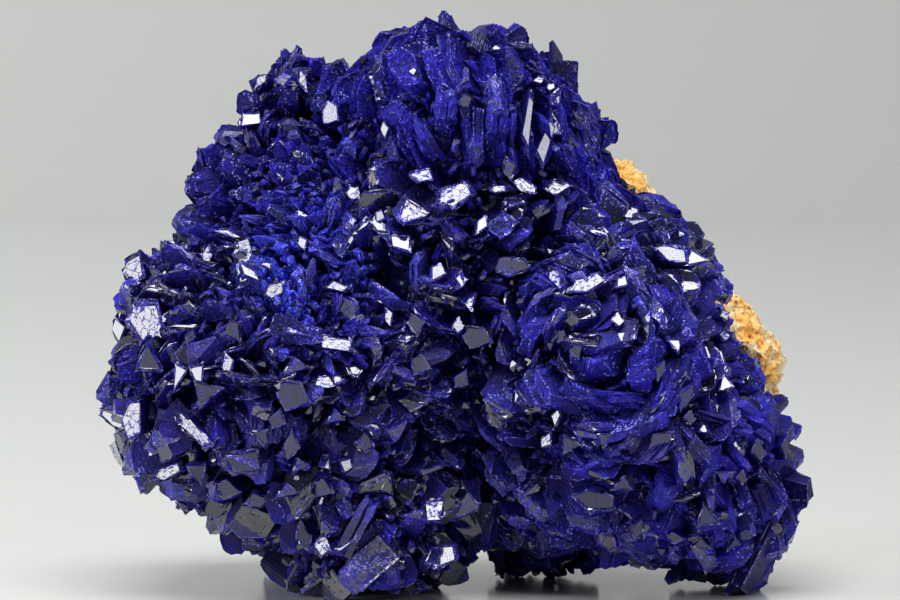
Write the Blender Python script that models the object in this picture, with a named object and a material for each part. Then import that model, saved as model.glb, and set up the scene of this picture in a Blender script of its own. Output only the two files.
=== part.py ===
"""Azurite cluster: rosettes of tabular crystals, grown together over a lump of limonite.

Metres, +Z up. The origin is the middle of the object's box in plan, on the surface it stands on.
The front is towards -Y. Two solids: azurite_crystals, one body of lobes and crystals grown
together, and limonite_matrix, the rock that they grew on, which shows on the right and the back.
"""

import math
import random
from collections import namedtuple

import bmesh
import bpy
from mathutils import Matrix, Vector, noise

MM = 0.001

# Driving dimensions, in millimetres.
CRYSTAL_SPACING = 5.2  # between the tips of neighbouring crystals
CRYSTAL_WIDTH = (5.0, 8.0)  # narrowest and widest crystal
CRYSTAL_THICKNESS = (1.5, 2.6)
CRYSTAL_HEIGHT = 3.0  # how far a crystal stands out of its lobe's solid core
CRYSTAL_UNEVEN = (-1.0, 0.5)  # how far the lowest and highest tips lie from their lobe's surface
CRYSTAL_ROOT = 1.6  # how deep a crystal's root lies in the core
PARTING_GAP = 0.35  # between the azurite and the limonite
ROCK_FACET = 4.2  # longest edge of the rock's facets
ROCK_ROUGHNESS = 0.7  # how far the rock's surface departs from its broken faces
FLOOR_CLEARANCE = 0.8  # crystals with their roots lower than this are left out
FLOOR_SIZE = (120.0, 120.0, 30.0)

# The shape and stance of a crystal, in shares of its size and in degrees.
CREST_SHIFT = (0.25, 0.2)  # how far the crest may lie off the middle, along and across
CREST_WIDTH = 0.1  # half the flat left on the crest, as a share of the thickness
CHISEL = (30, 55)  # slope of the two facets that meet at the crest
END_CREST = (0.05, 0.25)  # where the end facets start, from the crest's middle
END_SLANT = (32, 65)
GRAIN_SCATTER = 22  # how far crystals turn away from their lobe's grain
POLE_LEAN = 0.35  # how much crystals lean away from the pole, like opening petals
TILT_SCATTER = 0.16
AT_POLE = 0.2  # below this sine of the angle to the pole, the grain has no direction
BURIED = 0.92  # a tip within this share of another lobe's reach is left out

# A lobe is an ellipsoid. Its crystals stand round its pole: with a grain of 90 degrees like the
# petals of a rose, and with a grain of 0 like the ribs of a fan.
Lobe = namedtuple("Lobe", "centre radii pole grain")
FRONT = (0.0, -1.0, 0.15)
BACK = (0.0, 1.0, 0.2)
UP = (0.0, -0.3, 1.0)

LOBES = {
    "left_rosette": Lobe((-19.2, -3.8, 19.2), (16.0, 16.0, 14.8), (-0.1, -1.0, 0.1), 80),
    "left_flank": Lobe((-24.0, 0.2, 28.6), (9.6, 11.0, 8.4), (-0.6, -1.0, 0.4), 65),
    "left_shoulder": Lobe((-20.6, 2.2, 37.8), (6.2, 9.0, 7.4), (-0.6, -0.6, 0.6), 40),
    "left_slope": Lobe((-16.4, 2.7, 41.5), (7.2, 8.5, 7.2), (-0.6, -0.6, 0.6), 30),
    "left_peak": Lobe((-15.2, 2.2, 46.0), (6.4, 8.0, 8.0), (-0.3, -0.5, 1.0), 20),
    "saddle": Lobe((-12.6, -2.3, 34.8), (10.4, 12.0, 9.7), (-0.2, -1.0, 0.5), 60),
    "crown": Lobe((0.2, -1.8, 45.0), (14.2, 13.5, 12.2), UP, 10),
    "crown_neck": Lobe((10.8, 0.2, 42.6), (5.8, 8.0, 6.6), UP, 15),
    "centre_rosette": Lobe((-2.4, -5.3, 31.0), (10.4, 11.5, 10.0), (0.1, -1.0, 0.2), 60),
    "centre_lower": Lobe((-3.4, -4.8, 21.6), (8.4, 11.0, 10.0), (0.1, -1.0, -0.1), 65),
    "inner_right": Lobe((9.6, -3.8, 29.0), (10.2, 11.0, 10.0), (0.2, -1.0, 0.3), 85),
    "right_shoulder": Lobe((18.2, -0.8, 31.0), (9.9, 12.0, 9.0), (0.3, -1.0, 0.5), 75),
    "right_rosette": Lobe((17.0, -4.3, 18.4), (13.4, 16.0, 15.0), (-0.2, -1.0, 0.15), 85),
    "right_fan": Lobe((26.6, -1.3, 12.8), (8.8, 12.0, 9.4), (0.2, -1.0, 0.9), 15),
    "right_foot": Lobe((27.4, -2.3, 5.4), (6.6, 8.0, 8.8), (0.3, -1.0, -0.2), 80),
    "left_foot": Lobe((-7.2, -4.8, 6.8), (9.8, 11.0, 10.4), (0.1, -1.0, 0.0), 80),
    "belly": Lobe((11.1, 0.2, 12.6), (10.0, 11.0, 9.4), FRONT, 80),
    "heart": Lobe((0.2, 5.2, 25.8), (27.0, 14.0, 20.5), BACK, 80),
    "back_foot": Lobe((8.4, 9.2, 6.4), (7.6, 8.5, 9.8), BACK, 70),
    "left_back_foot": Lobe((-11.3, 9.7, 7.4), (11.0, 10.0, 10.8), BACK, 70),
    "left_back": Lobe((-19.8, 7.7, 22.5), (14.0, 13.0, 14.6), (-0.3, 1.0, 0.1), 75),
    "crown_back": Lobe((-2.8, 7.7, 41.0), (13.5, 10.5, 11.6), (0.0, 1.0, 0.4), 30),
    "right_back": Lobe((18.8, 7.7, 11.4), (13.0, 9.5, 8.6), (0.3, 1.0, -0.1), 80),
}

# The rock's outline seen from the front (x, z), from its top corner clockwise, and the planes
# along y in which the outline stands, each with the share of its size that it keeps there.
ROCK_OUTLINE = (
    (12.2, 41.5),
    (17.0, 42.9),
    (19.0, 41.2),
    (27.2, 30.6),
    (33.4, 22.4),
    (34.2, 18.4),
    (30.7, 11.5),
    (19.2, 9.0),
    (7.2, 14.0),
    (2.2, 26.0),
    (4.7, 36.0),
)
ROCK_LUMP = 7.2
ROCK_CHIP = 2.4
CHIP_OFFSET = Vector((5.0, 2.0, 8.0))
ROCK_LAYERS = ((3.5, 0.86), (8.2, 1.0), (14.2, 0.96), (19.5, 0.62))

MOST_TRIANGLES = 7900
SEED = 12
AZURITE_COLOUR = (0.018, 0.014, 0.28, 1.0)
LIMONITE_COLOUR = (0.72, 0.40, 0.13, 1.0)


def clear_scene():
    for obj in list(bpy.data.objects):
        bpy.data.objects.remove(obj, do_unlink=True)


def material(name, colour, roughness):
    made = bpy.data.materials.new(name)
    made.use_nodes = True
    shader = made.node_tree.nodes["Principled BSDF"]
    shader.inputs["Base Color"].default_value = colour
    shader.inputs["Roughness"].default_value = roughness
    shader.inputs["Metallic"].default_value = 0.0
    return made


def object_from(name, bm, helper=False):
    mesh = bpy.data.meshes.new(name)
    bm.to_mesh(mesh)
    bm.free()
    obj = bpy.data.objects.new(name, mesh)
    bpy.context.scene.collection.objects.link(obj)
    if helper:
        obj.hide_render = True
        obj.display_type = "WIRE"
    return obj


# ---------------------------------------------------------------- limonite


def hull_of(points):
    bm = bmesh.new()
    for point in points:
        bm.verts.new(point)
    made = bmesh.ops.convex_hull(bm, input=bm.verts)
    spare = [e for e in made["geom_interior"] if isinstance(e, bmesh.types.BMVert)]
    bmesh.ops.delete(bm, geom=spare, context="VERTS")
    bmesh.ops.recalc_face_normals(bm, faces=bm.faces)
    return bm


def rock_points():
    """Corners of the rock: its outline, drawn in towards its middle on the outer layers."""
    middle_x = sum(x for x, z in ROCK_OUTLINE) / len(ROCK_OUTLINE)
    middle_z = sum(z for x, z in ROCK_OUTLINE) / len(ROCK_OUTLINE)
    return [
        Vector((middle_x + (x - middle_x) * share, y, middle_z + (z - middle_z) * share)) * MM
        for y, share in ROCK_LAYERS
        for x, z in ROCK_OUTLINE
    ]


def rock_mesh(grown_by):
    """The rock, with its broken surface moved out by grown_by millimetres."""
    bm = hull_of(rock_points())
    bmesh.ops.triangulate(bm, faces=bm.faces)
    longest = ROCK_FACET * MM
    while max(e.calc_length() for e in bm.edges) > longest:
        long_edges = [e for e in bm.edges if e.calc_length() > longest]
        bmesh.ops.subdivide_edges(bm, edges=long_edges, cuts=1)
        bmesh.ops.triangulate(bm, faces=bm.faces)
        bmesh.ops.beautify_fill(bm, faces=bm.faces, edges=bm.edges)
    bm.normal_update()
    moves = []
    for vert in bm.verts:
        lumps = noise.noise(vert.co / (ROCK_LUMP * MM))
        chips = noise.noise(vert.co / (ROCK_CHIP * MM) + CHIP_OFFSET)
        rough = ROCK_ROUGHNESS * (1.2 * lumps + 0.7 * chips)
        moves.append(vert.normal * (rough + grown_by) * MM)
    for vert, move in zip(bm.verts, moves):
        vert.co += move
    return bm


def inside_hull(planes, point, margin):
    """True for a point inside the planes, or outside them by less than margin."""
    return all((point - co).dot(no) < margin for co, no in planes)


# ---------------------------------------------------------------- azurite


def lobe_mesh(lobe):
    bm = bmesh.new()
    bmesh.ops.create_icosphere(bm, subdivisions=2, radius=1.0)
    radii = [(r - CRYSTAL_HEIGHT) * MM for r in lobe.radii]
    place = Matrix.Translation(Vector(lobe.centre) * MM) @ Matrix.Diagonal((*radii, 1.0))
    bm.transform(place)
    return bm


def depth_in(lobe, point):
    """Below 1 inside the lobe, 1 on its surface."""
    off = point - Vector(lobe.centre) * MM
    return math.sqrt(sum((o / (r * MM)) ** 2 for o, r in zip(off, lobe.radii)))


def surface_points(lobe, spacing):
    """Evenly spread points on a lobe, with their outward normals, along a Fibonacci spiral."""
    a, b, c = (r * MM for r in lobe.radii)
    power = 1.6  # of Thomsen's formula for an ellipsoid's area
    mean = ((a * b) ** power + (a * c) ** power + (b * c) ** power) / 3
    area = 4 * math.pi * mean ** (1 / power)
    count = round(area / (spacing * MM) ** 2)
    golden = math.pi * (3 - math.sqrt(5))
    for i in range(count):
        z = 1 - 2 * (i + 0.5) / count
        r = math.sqrt(1 - z * z)
        unit = Vector((r * math.cos(golden * i), r * math.sin(golden * i), z))
        on = Vector(lobe.centre) * MM + Vector((unit.x * a, unit.y * b, unit.z * c))
        normal = Vector((unit.x / a, unit.y / b, unit.z / c)).normalized()
        yield on, normal


def cut_away(bm, at, normal):
    """Cuts a flat facet: all that lies beyond the plane goes, and the cut is closed."""
    geometry = bm.verts[:] + bm.edges[:] + bm.faces[:]
    cut = bmesh.ops.bisect_plane(
        bm, geom=geometry, dist=1e-7, plane_co=at, plane_no=normal, clear_outer=True
    )
    rim = [e for e in cut["geom_cut"] if isinstance(e, bmesh.types.BMEdge)]
    if rim:
        bmesh.ops.edgeloop_fill(bm, edges=rim)


def crystal_mesh(rng, width, thickness, height):
    """A tabular crystal in millimetres, with its tip at z = 0 and its root below: a slab with its
    broad faces towards +Y and -Y, cut by two chisel facets on top and two slanting end facets."""
    bm = bmesh.new()
    size = Matrix.Diagonal((width, thickness, height, 1.0))
    lift = Matrix.Translation((0.0, 0.0, -height / 2))
    bmesh.ops.create_cube(bm, size=1.0, matrix=lift @ size)
    along, across = CREST_SHIFT
    crest = rng.uniform(-along, along) * width
    ridge = Vector((crest, rng.uniform(-across, across) * thickness, 0.0))
    for side in (-1, 1):
        chisel = math.radians(rng.uniform(*CHISEL))
        edge = ridge + Vector((0.0, side * CREST_WIDTH * thickness, 0.0))
        cut_away(bm, edge, (0.0, side * math.cos(chisel), math.sin(chisel)))
        slant = math.radians(rng.uniform(*END_SLANT))
        end = ridge + Vector((side * width * rng.uniform(*END_CREST), 0.0, 0.0))
        cut_away(bm, end, (side * math.cos(slant), 0.0, math.sin(slant)))
    bmesh.ops.recalc_face_normals(bm, faces=bm.faces)
    return bm


def crystal_frame(rng, lobe, at, normal):
    """The crystal's place: its Z stands out of the lobe and its X follows the lobe's grain."""
    pole = Vector(lobe.pole).normalized()
    round_pole = pole.cross(normal)
    if round_pole.length < AT_POLE:
        round_pole = Vector((1.0, 0.0, 0.3))
    round_pole.normalize()
    meridian = round_pole.cross(normal).normalized()
    swing = math.radians(lobe.grain + rng.gauss(0.0, GRAIN_SCATTER))
    along = meridian * math.cos(swing) + round_pole * math.sin(swing)
    lean = Vector([rng.gauss(0, TILT_SCATTER) for axis in "xyz"]) - pole * POLE_LEAN
    up = (normal + lean).normalized()
    along = (along - up * along.dot(up)).normalized()
    across = up.cross(along)
    turn = Matrix((along, across, up)).transposed().to_4x4()
    return Matrix.Translation(at) @ turn


def crystals(rock_planes):
    """Every crystal of every lobe, as a closed mesh in place."""
    rng = random.Random(SEED)
    for name, lobe in LOBES.items():
        others = [other for key, other in LOBES.items() if key != name]
        for at, normal in surface_points(lobe, CRYSTAL_SPACING):
            width, thickness = rng.uniform(*CRYSTAL_WIDTH), rng.uniform(*CRYSTAL_THICKNESS)
            at += normal * rng.uniform(*CRYSTAL_UNEVEN) * MM
            shape = random.Random(rng.random())
            if any(depth_in(other, at) < BURIED for other in others):
                continue
            if at.z < FLOOR_CLEARANCE * MM or inside_hull(rock_planes, at, PARTING_GAP * MM):
                continue
            bm = crystal_mesh(shape, width, thickness, CRYSTAL_HEIGHT + CRYSTAL_ROOT)
            bm.transform(crystal_frame(shape, lobe, at, normal) @ Matrix.Scale(MM, 4))
            yield bm


def floor_box():
    bm = bmesh.new()
    width, depth, height = (side * MM for side in FLOOR_SIZE)
    lowered = Matrix.Translation((0.0, 0.0, -height / 2))
    size = Matrix.Diagonal((width, depth, height, 1.0))
    bmesh.ops.create_cube(bm, size=1.0, matrix=lowered @ size)
    return bm


def add_boolean(obj, operation, other):
    modifier = obj.modifiers.new(operation.title(), "BOOLEAN")
    modifier.operation = operation
    modifier.solver = "EXACT"
    if isinstance(other, bpy.types.Collection):
        modifier.operand_type = "COLLECTION"
        modifier.collection = other
    else:
        modifier.object = other


def largest_island(bm):
    """Deletes all but the largest connected body."""
    unseen, islands = set(bm.verts), []
    while unseen:
        stack, island = [unseen.pop()], []
        while stack:
            vert = stack.pop()
            island.append(vert)
            for edge in vert.link_edges:
                near = edge.other_vert(vert)
                if near in unseen:
                    unseen.remove(near)
                    stack.append(near)
        islands.append(island)
    islands.sort(key=len)
    for island in islands[:-1]:
        bmesh.ops.delete(bm, geom=island, context="VERTS")


def applied(obj):
    """Puts what the modifiers make into the object's own mesh, and counts its triangles."""
    graph = bpy.context.evaluated_depsgraph_get()
    mesh = bpy.data.meshes.new_from_object(obj.evaluated_get(graph))
    obj.modifiers.clear()
    bm = bmesh.new()
    bm.from_mesh(mesh)
    largest_island(bm)
    bmesh.ops.triangulate(bm, faces=bm.faces)
    bm.to_mesh(obj.data)
    bm.free()
    return len(obj.data.polygons)


def azurite(rock_cutter, rock_planes):
    """The lobes and their crystals as one body, thinned to fewer facets, then cut by the rock's
    bed and by the plane that it stands on, which leaves its feet flat."""
    grown = bpy.data.collections.new("grown_together")
    bpy.context.scene.collection.children.link(grown)
    grown.hide_render = True
    parts = [lobe_mesh(lobe) for lobe in LOBES.values()] + list(crystals(rock_planes))
    for bm in parts[1:]:
        helper = object_from("growth", bm, helper=True)
        bpy.context.scene.collection.objects.unlink(helper)
        grown.objects.link(helper)
    obj = object_from("azurite_crystals", parts[0])
    add_boolean(obj, "UNION", grown)
    triangles = applied(obj)
    print("crystals:", len(parts) - len(LOBES), "triangles before thinning:", triangles)
    obj.modifiers.new("Thin", "DECIMATE").ratio = min(1.0, MOST_TRIANGLES / triangles)
    add_boolean(obj, "DIFFERENCE", rock_cutter)
    add_boolean(obj, "DIFFERENCE", object_from("floor", floor_box(), helper=True))
    applied(obj)
    return obj


def main():
    clear_scene()
    rock = object_from("limonite_matrix", rock_mesh(0.0))
    rock_cutter = object_from("rock_bed", rock_mesh(PARTING_GAP), helper=True)
    hull = hull_of(rock_points())
    rock_planes = [(face.calc_center_median(), face.normal.copy()) for face in hull.faces]
    hull.free()
    obj = azurite(rock_cutter, rock_planes)
    obj.data.materials.append(material("azurite", AZURITE_COLOUR, 0.25))
    rock.data.materials.append(material("limonite", LIMONITE_COLOUR, 0.9))


main()
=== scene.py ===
"""Azurite specimen: rosettes of tabular azurite crystals on a lump of limonite.

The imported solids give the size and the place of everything. The azurite is modelled here as a few
kinds of crystal, each cut facet by facet from a slab, and copied in tiers over the lobes of the
cluster, from the large blades down to a druse of tiny ones.
"""

import math
import random
from collections import namedtuple

import bmesh
import bpy
import numpy as np
from bpy.props import FloatProperty, FloatVectorProperty, PointerProperty
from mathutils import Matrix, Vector
from mathutils.bvhtree import BVHTree


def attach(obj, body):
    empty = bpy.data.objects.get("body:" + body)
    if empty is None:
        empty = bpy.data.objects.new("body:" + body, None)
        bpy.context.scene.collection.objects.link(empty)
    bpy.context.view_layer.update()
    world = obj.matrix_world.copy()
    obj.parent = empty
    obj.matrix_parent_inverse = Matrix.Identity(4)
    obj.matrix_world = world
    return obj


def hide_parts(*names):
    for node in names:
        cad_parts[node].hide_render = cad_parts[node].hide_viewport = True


bl_info = {
    "name": "Azurite Specimen",
    "version": (1, 0, 0),
    "blender": (4, 5, 0),
    "location": "View3D > Sidebar > Azurite",
    "description": "Models an azurite crystal cluster and its limonite matrix on their solids",
    "category": "Object",
}

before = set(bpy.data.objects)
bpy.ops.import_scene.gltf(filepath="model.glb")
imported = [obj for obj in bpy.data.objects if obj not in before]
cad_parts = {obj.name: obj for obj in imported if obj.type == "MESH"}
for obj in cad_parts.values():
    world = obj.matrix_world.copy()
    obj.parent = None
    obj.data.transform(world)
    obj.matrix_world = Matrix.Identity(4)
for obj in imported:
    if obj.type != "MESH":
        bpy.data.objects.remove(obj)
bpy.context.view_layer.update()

MM = 0.001
AZURITE_NODE = "azurite_crystals"
ROCK_NODE = "limonite_matrix"

# ------------------------------------------------------------------ the cluster's plan, in mm

# A lobe is an ellipsoid that the crystals' tips reach. They stand round its pole: with a grain of
# 90 degrees like the petals of a rose, with a grain of 0 like the ribs of a fan. Its habit is how
# its crystals grow, and below names the habit of its lower half where that differs.
Lobe = namedtuple("Lobe", "centre radii pole grain region habit below", defaults=[None])
FRONT = (0.0, -1.0, 0.15)
BACK = (0.0, 1.0, 0.2)
UP = (0.0, -0.3, 1.0)

LOBES = {
    "left_rosette": Lobe(
        (-19.2, -3.8, 20.0), (16.0, 16.0, 14.6), (-0.1, -1.0, 0.1), 80, "left", "honeycomb",
        "shingles"
    ),
    "left_flank": Lobe(
        (-24.0, 0.2, 28.6), (9.6, 11.0, 8.4), (-0.6, -1.0, 0.4), 65, "left", "honeycomb"
    ),
    "left_shoulder": Lobe(
        (-20.6, 2.2, 37.8), (6.2, 9.0, 7.4), (-0.6, -0.6, 0.6), 40, "peak", "rough"
    ),
    "left_slope": Lobe((-16.4, 2.7, 41.5), (7.2, 8.5, 7.2), (-0.6, -0.6, 0.6), 30, "peak", "rough"),
    "left_peak": Lobe((-15.2, 2.2, 46.0), (6.4, 8.0, 8.0), (-0.3, -0.5, 1.0), 20, "peak", "rough"),
    "saddle": Lobe(
        (-12.6, -2.3, 34.8), (10.4, 12.0, 9.7), (-0.2, -1.0, 0.5), 60, "centre", "druse"
    ),
    "crown": Lobe((0.2, -1.8, 45.0), (14.2, 13.5, 12.2), UP, 8, "crown", "drapes"),
    "crown_neck": Lobe((10.8, 0.2, 42.6), (5.8, 8.0, 6.6), UP, 12, "crown", "drapes"),
    "centre_rosette": Lobe(
        (-2.4, -5.3, 31.0), (10.4, 11.5, 10.0), (0.1, -1.0, 0.2), 60, "centre", "honeycomb"
    ),
    "centre_lower": Lobe(
        (-3.4, -4.8, 21.6), (8.4, 11.0, 10.0), (0.1, -1.0, -0.1), 65, "centre", "honeycomb"
    ),
    "inner_right": Lobe(
        (9.6, -3.8, 29.0), (10.2, 11.0, 10.0), (0.2, -1.0, 0.3), 85, "right", "petals"
    ),
    "right_shoulder": Lobe(
        (17.8, -0.8, 30.8), (9.3, 12.0, 8.5), (0.3, -1.0, 0.5), 75, "right", "honeycomb", "petals"
    ),
    "right_rosette": Lobe(
        (17.0, -4.3, 18.4), (13.4, 16.0, 15.0), (-0.12, -1.0, 0.4), 85, "right", "petals"
    ),
    "right_fan": Lobe((26.6, -1.3, 12.8), (8.8, 12.0, 9.4), (0.2, -1.0, 0.9), 12, "right", "fan"),
    "right_foot": Lobe((26.2, -2.3, 6.2), (6.2, 8.0, 8.2), (0.3, -1.0, -0.2), 80, "base", "petals"),
    "left_foot": Lobe(
        (-7.2, -4.8, 6.8), (9.8, 11.0, 10.4), (0.1, -1.0, 0.0), 80, "base", "shingles"
    ),
    "belly": Lobe((11.1, 0.2, 12.6), (10.0, 11.0, 9.4), FRONT, 80, "base", "honeycomb"),
    "heart": Lobe((0.2, 5.2, 25.8), (27.0, 14.0, 20.5), BACK, 80, "back", "petals"),
    "back_foot": Lobe((8.4, 9.2, 6.4), (7.6, 8.5, 9.8), BACK, 70, "base", "honeycomb"),
    "left_back_foot": Lobe((-11.3, 9.7, 7.4), (11.0, 10.0, 10.8), BACK, 70, "base", "petals"),
    "left_back": Lobe(
        (-19.8, 7.7, 22.5), (14.0, 13.0, 14.6), (-0.3, 1.0, 0.1), 75, "back", "petals"
    ),
    "crown_back": Lobe(
        (-2.8, 7.7, 41.0), (13.5, 10.5, 11.6), (0.0, 1.0, 0.4), 30, "back", "drapes"
    ),
    "right_back": Lobe((18.8, 7.7, 11.4), (13.0, 9.5, 8.6), (0.3, 1.0, -0.1), 80, "back", "petals"),
    # Webs fill the valleys where lobes have grown into each other.
    "left_web": Lobe(
        (-13.4, -4.2, 27.2), (11.0, 13.6, 9.0), (-0.2, -1.0, 0.2), 60, "centre", "druse"
    ),
    "centre_web": Lobe((-9.0, -5.2, 23.6), (8.6, 12.2, 10.5), FRONT, 60, "centre", "honeycomb"),
    "neck_web": Lobe(
        (0.0, -4.2, 36.6), (12.5, 11.4, 7.4), (0.0, -1.0, 0.6), 70, "centre", "honeycomb"
    ),
    "right_web": Lobe(
        (13.2, -5.6, 25.4), (11.6, 12.8, 9.4), (0.1, -1.0, 0.3), 80, "right", "petals"
    ),
    "fan_web": Lobe((22.6, -4.0, 13.4), (9.4, 13.6, 10.6), (0.2, -1.0, 0.9), 18, "right", "fan"),
    "valley_web": Lobe((4.2, -1.6, 21.0), (9.0, 10.4, 15.0), FRONT, 80, "centre", "honeycomb"),
    "foot_web": Lobe((-12.8, -3.6, 10.6), (10.4, 12.0, 9.2), FRONT, 80, "base", "shingles"),
    "heel_web": Lobe((24.0, -3.0, 8.5), (8.6, 11.4, 8.2), (0.2, -1.0, 0.1), 80, "base", "petals"),
    "peak_web": Lobe((-14.0, 0.4, 39.6), (9.4, 9.6, 8.4), (-0.3, -1.0, 0.5), 40, "peak", "rough"),
}

# A habit gives the distance between stacks of blades and between the blades of a stack, their
# width and thickness, how far they lie over (0 stands straight out, 1 lies flat like a roof tile),
# how far stacks stray from the lobe's grain, the share of broad faces that are polished, the
# shares of plates and of chips that grow, the kinds of crystal, how light their colour is (on the
# peak, painted shade), and how grainy their frosted faces are.
Habit = namedtuple(
    "Habit", "spacing pitch width thickness lay swing polished plates chips kinds shade grain"
)
HABITS = {
    "petals": Habit(
        6.6, 2.2, (4.6, 7.8), (1.1, 2.1), 0.22, 30, 0.18, 0.16, 0.10, ("blade", "blade", "book"),
        0.88, 0.35
    ),
    "honeycomb": Habit(
        4.2, 2.1, (3.0, 5.0), (0.8, 1.6), 0.15, 26, 0.44, 0.50, 0.22, ("blade", "book", "gem"),
        1.0, 0.5
    ),
    "shingles": Habit(
        3.5, 2.4, (2.6, 4.4), (1.4, 2.8), 0.40, 55, 0.55, 0.55, 0.30,
        ("gem", "gem", "blade", "book"), 1.0, 0.35
    ),
    "drapes": Habit(
        5.2, 2.6, (5.4, 8.8), (1.0, 1.8), 0.34, 8, 0.0, 0.40, 0.30, ("book", "petal", "blade"),
        1.2, 0.8
    ),
    "fan": Habit(
        5.8, 2.9, (5.0, 8.0), (1.3, 2.1), 0.36, 9, 0.04, 0.20, 0.10, ("petal", "blade", "book"),
        1.25, 0.35
    ),
    # The rough habit's low shade darkens the peak's colour: painted shade.
    "rough": Habit(
        3.9, 2.1, (2.2, 4.2), (1.0, 1.9), 0.22, 30, 0.0, 0.40, 0.40, ("blade", "book", "petal"),
        0.55, 0.35
    ),
    "druse": Habit(
        2.4, 1.3, (1.2, 2.6), (0.6, 1.2), 0.25, 60, 0.1, 0.30, 0.90, ("book", "blade", "gem"),
        1.5, 1.0
    ),
}
BLADE_HEIGHT = (4.6, 6.2)
BLADE_LEVEL = (-1.6, 0.3)  # of the tips, from the cluster's surface
MELD = 1.3  # how widely the valleys between lobes are filled

# The smaller crystals between the blades: their spacing, size, how far their tips lie from the
# lobe's surface, which of the habit's shares holds for them, and their kinds.
Tier = namedtuple("Tier", "spacing width thickness height level share kinds")
TIERS = {
    "plates": Tier(
        1.9, (1.6, 3.2), (0.5, 1.0), (2.2, 3.2), (-3.2, -1.4), "plates", ("blade", "book")
    ),
    "chips": Tier(1.1, (0.6, 1.4), (0.3, 0.7), (1.0, 1.6), (-2.6, -0.7), "chips", ("chip",)),
}
BURIED = -1.6  # a site this far inside another lobe is left out
POLE_LEAN = 0.12  # how far crystals lean away from their lobe's pole
# How far stacks stray in their tilt and their lie, and their blades across and along the stack.
TILT_SCATTER, LAY_SCATTER, PITCH_SCATTER, SHIFT_SCATTER = 0.14, 0.1, 0.2, 0.9
OWN_SWING, OWN_TILT, OWN_LAY = 5.0, 0.05, 0.04  # the same of each blade within its stack
TIER_SWING, TIER_LAY, TIER_TILT = 30.0, 0.12, 0.2  # and of the smaller crystals
CORE_DEPTH = 4.0  # from the tips down to the solid core
CLEAR_OF_FLOOR = 0.3
INTO_ROCK = 0.3  # how far a crystal's tip may lie in the rock

# ------------------------------------------------------------------ the front view, in mm

MIDDLE = np.array((-0.15, 0.0, 28.9))
TABLE_ZERO = 28.5  # the height in the tables below that lies at the view's middle
VIEW_DISTANCE = 600.0
VIEW_RISE = math.radians(4.0)
EYE = MIDDLE + VIEW_DISTANCE * np.array((0.0, -math.cos(VIEW_RISE), math.sin(VIEW_RISE)))

# Softboxes: place, size and radiance. Each points at the specimen's middle.
Softbox = namedtuple("Softbox", "place size radiance")
SOFTBOXES = {
    "left_box": Softbox((-520.0, -240.0, 220.0), (220.0, 340.0), 7.5),
    "top_box": Softbox((0.0, -170.0, 610.0), (500.0, 360.0), 9.5),
    "right_box": Softbox((460.0, -360.0, 220.0), (100.0, 240.0), 6.0),
}
# What a face placed one by one mirrors towards the front.
MIRRORED = {
    "left": SOFTBOXES["left_box"].place,
    "top": SOFTBOXES["top_box"].place,
    "right": SOFTBOXES["right_box"].place,
    "floor": (0.0, -150.0, 0.0),
    "foreground": (0.0, -70.0, 0.0),
}

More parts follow.
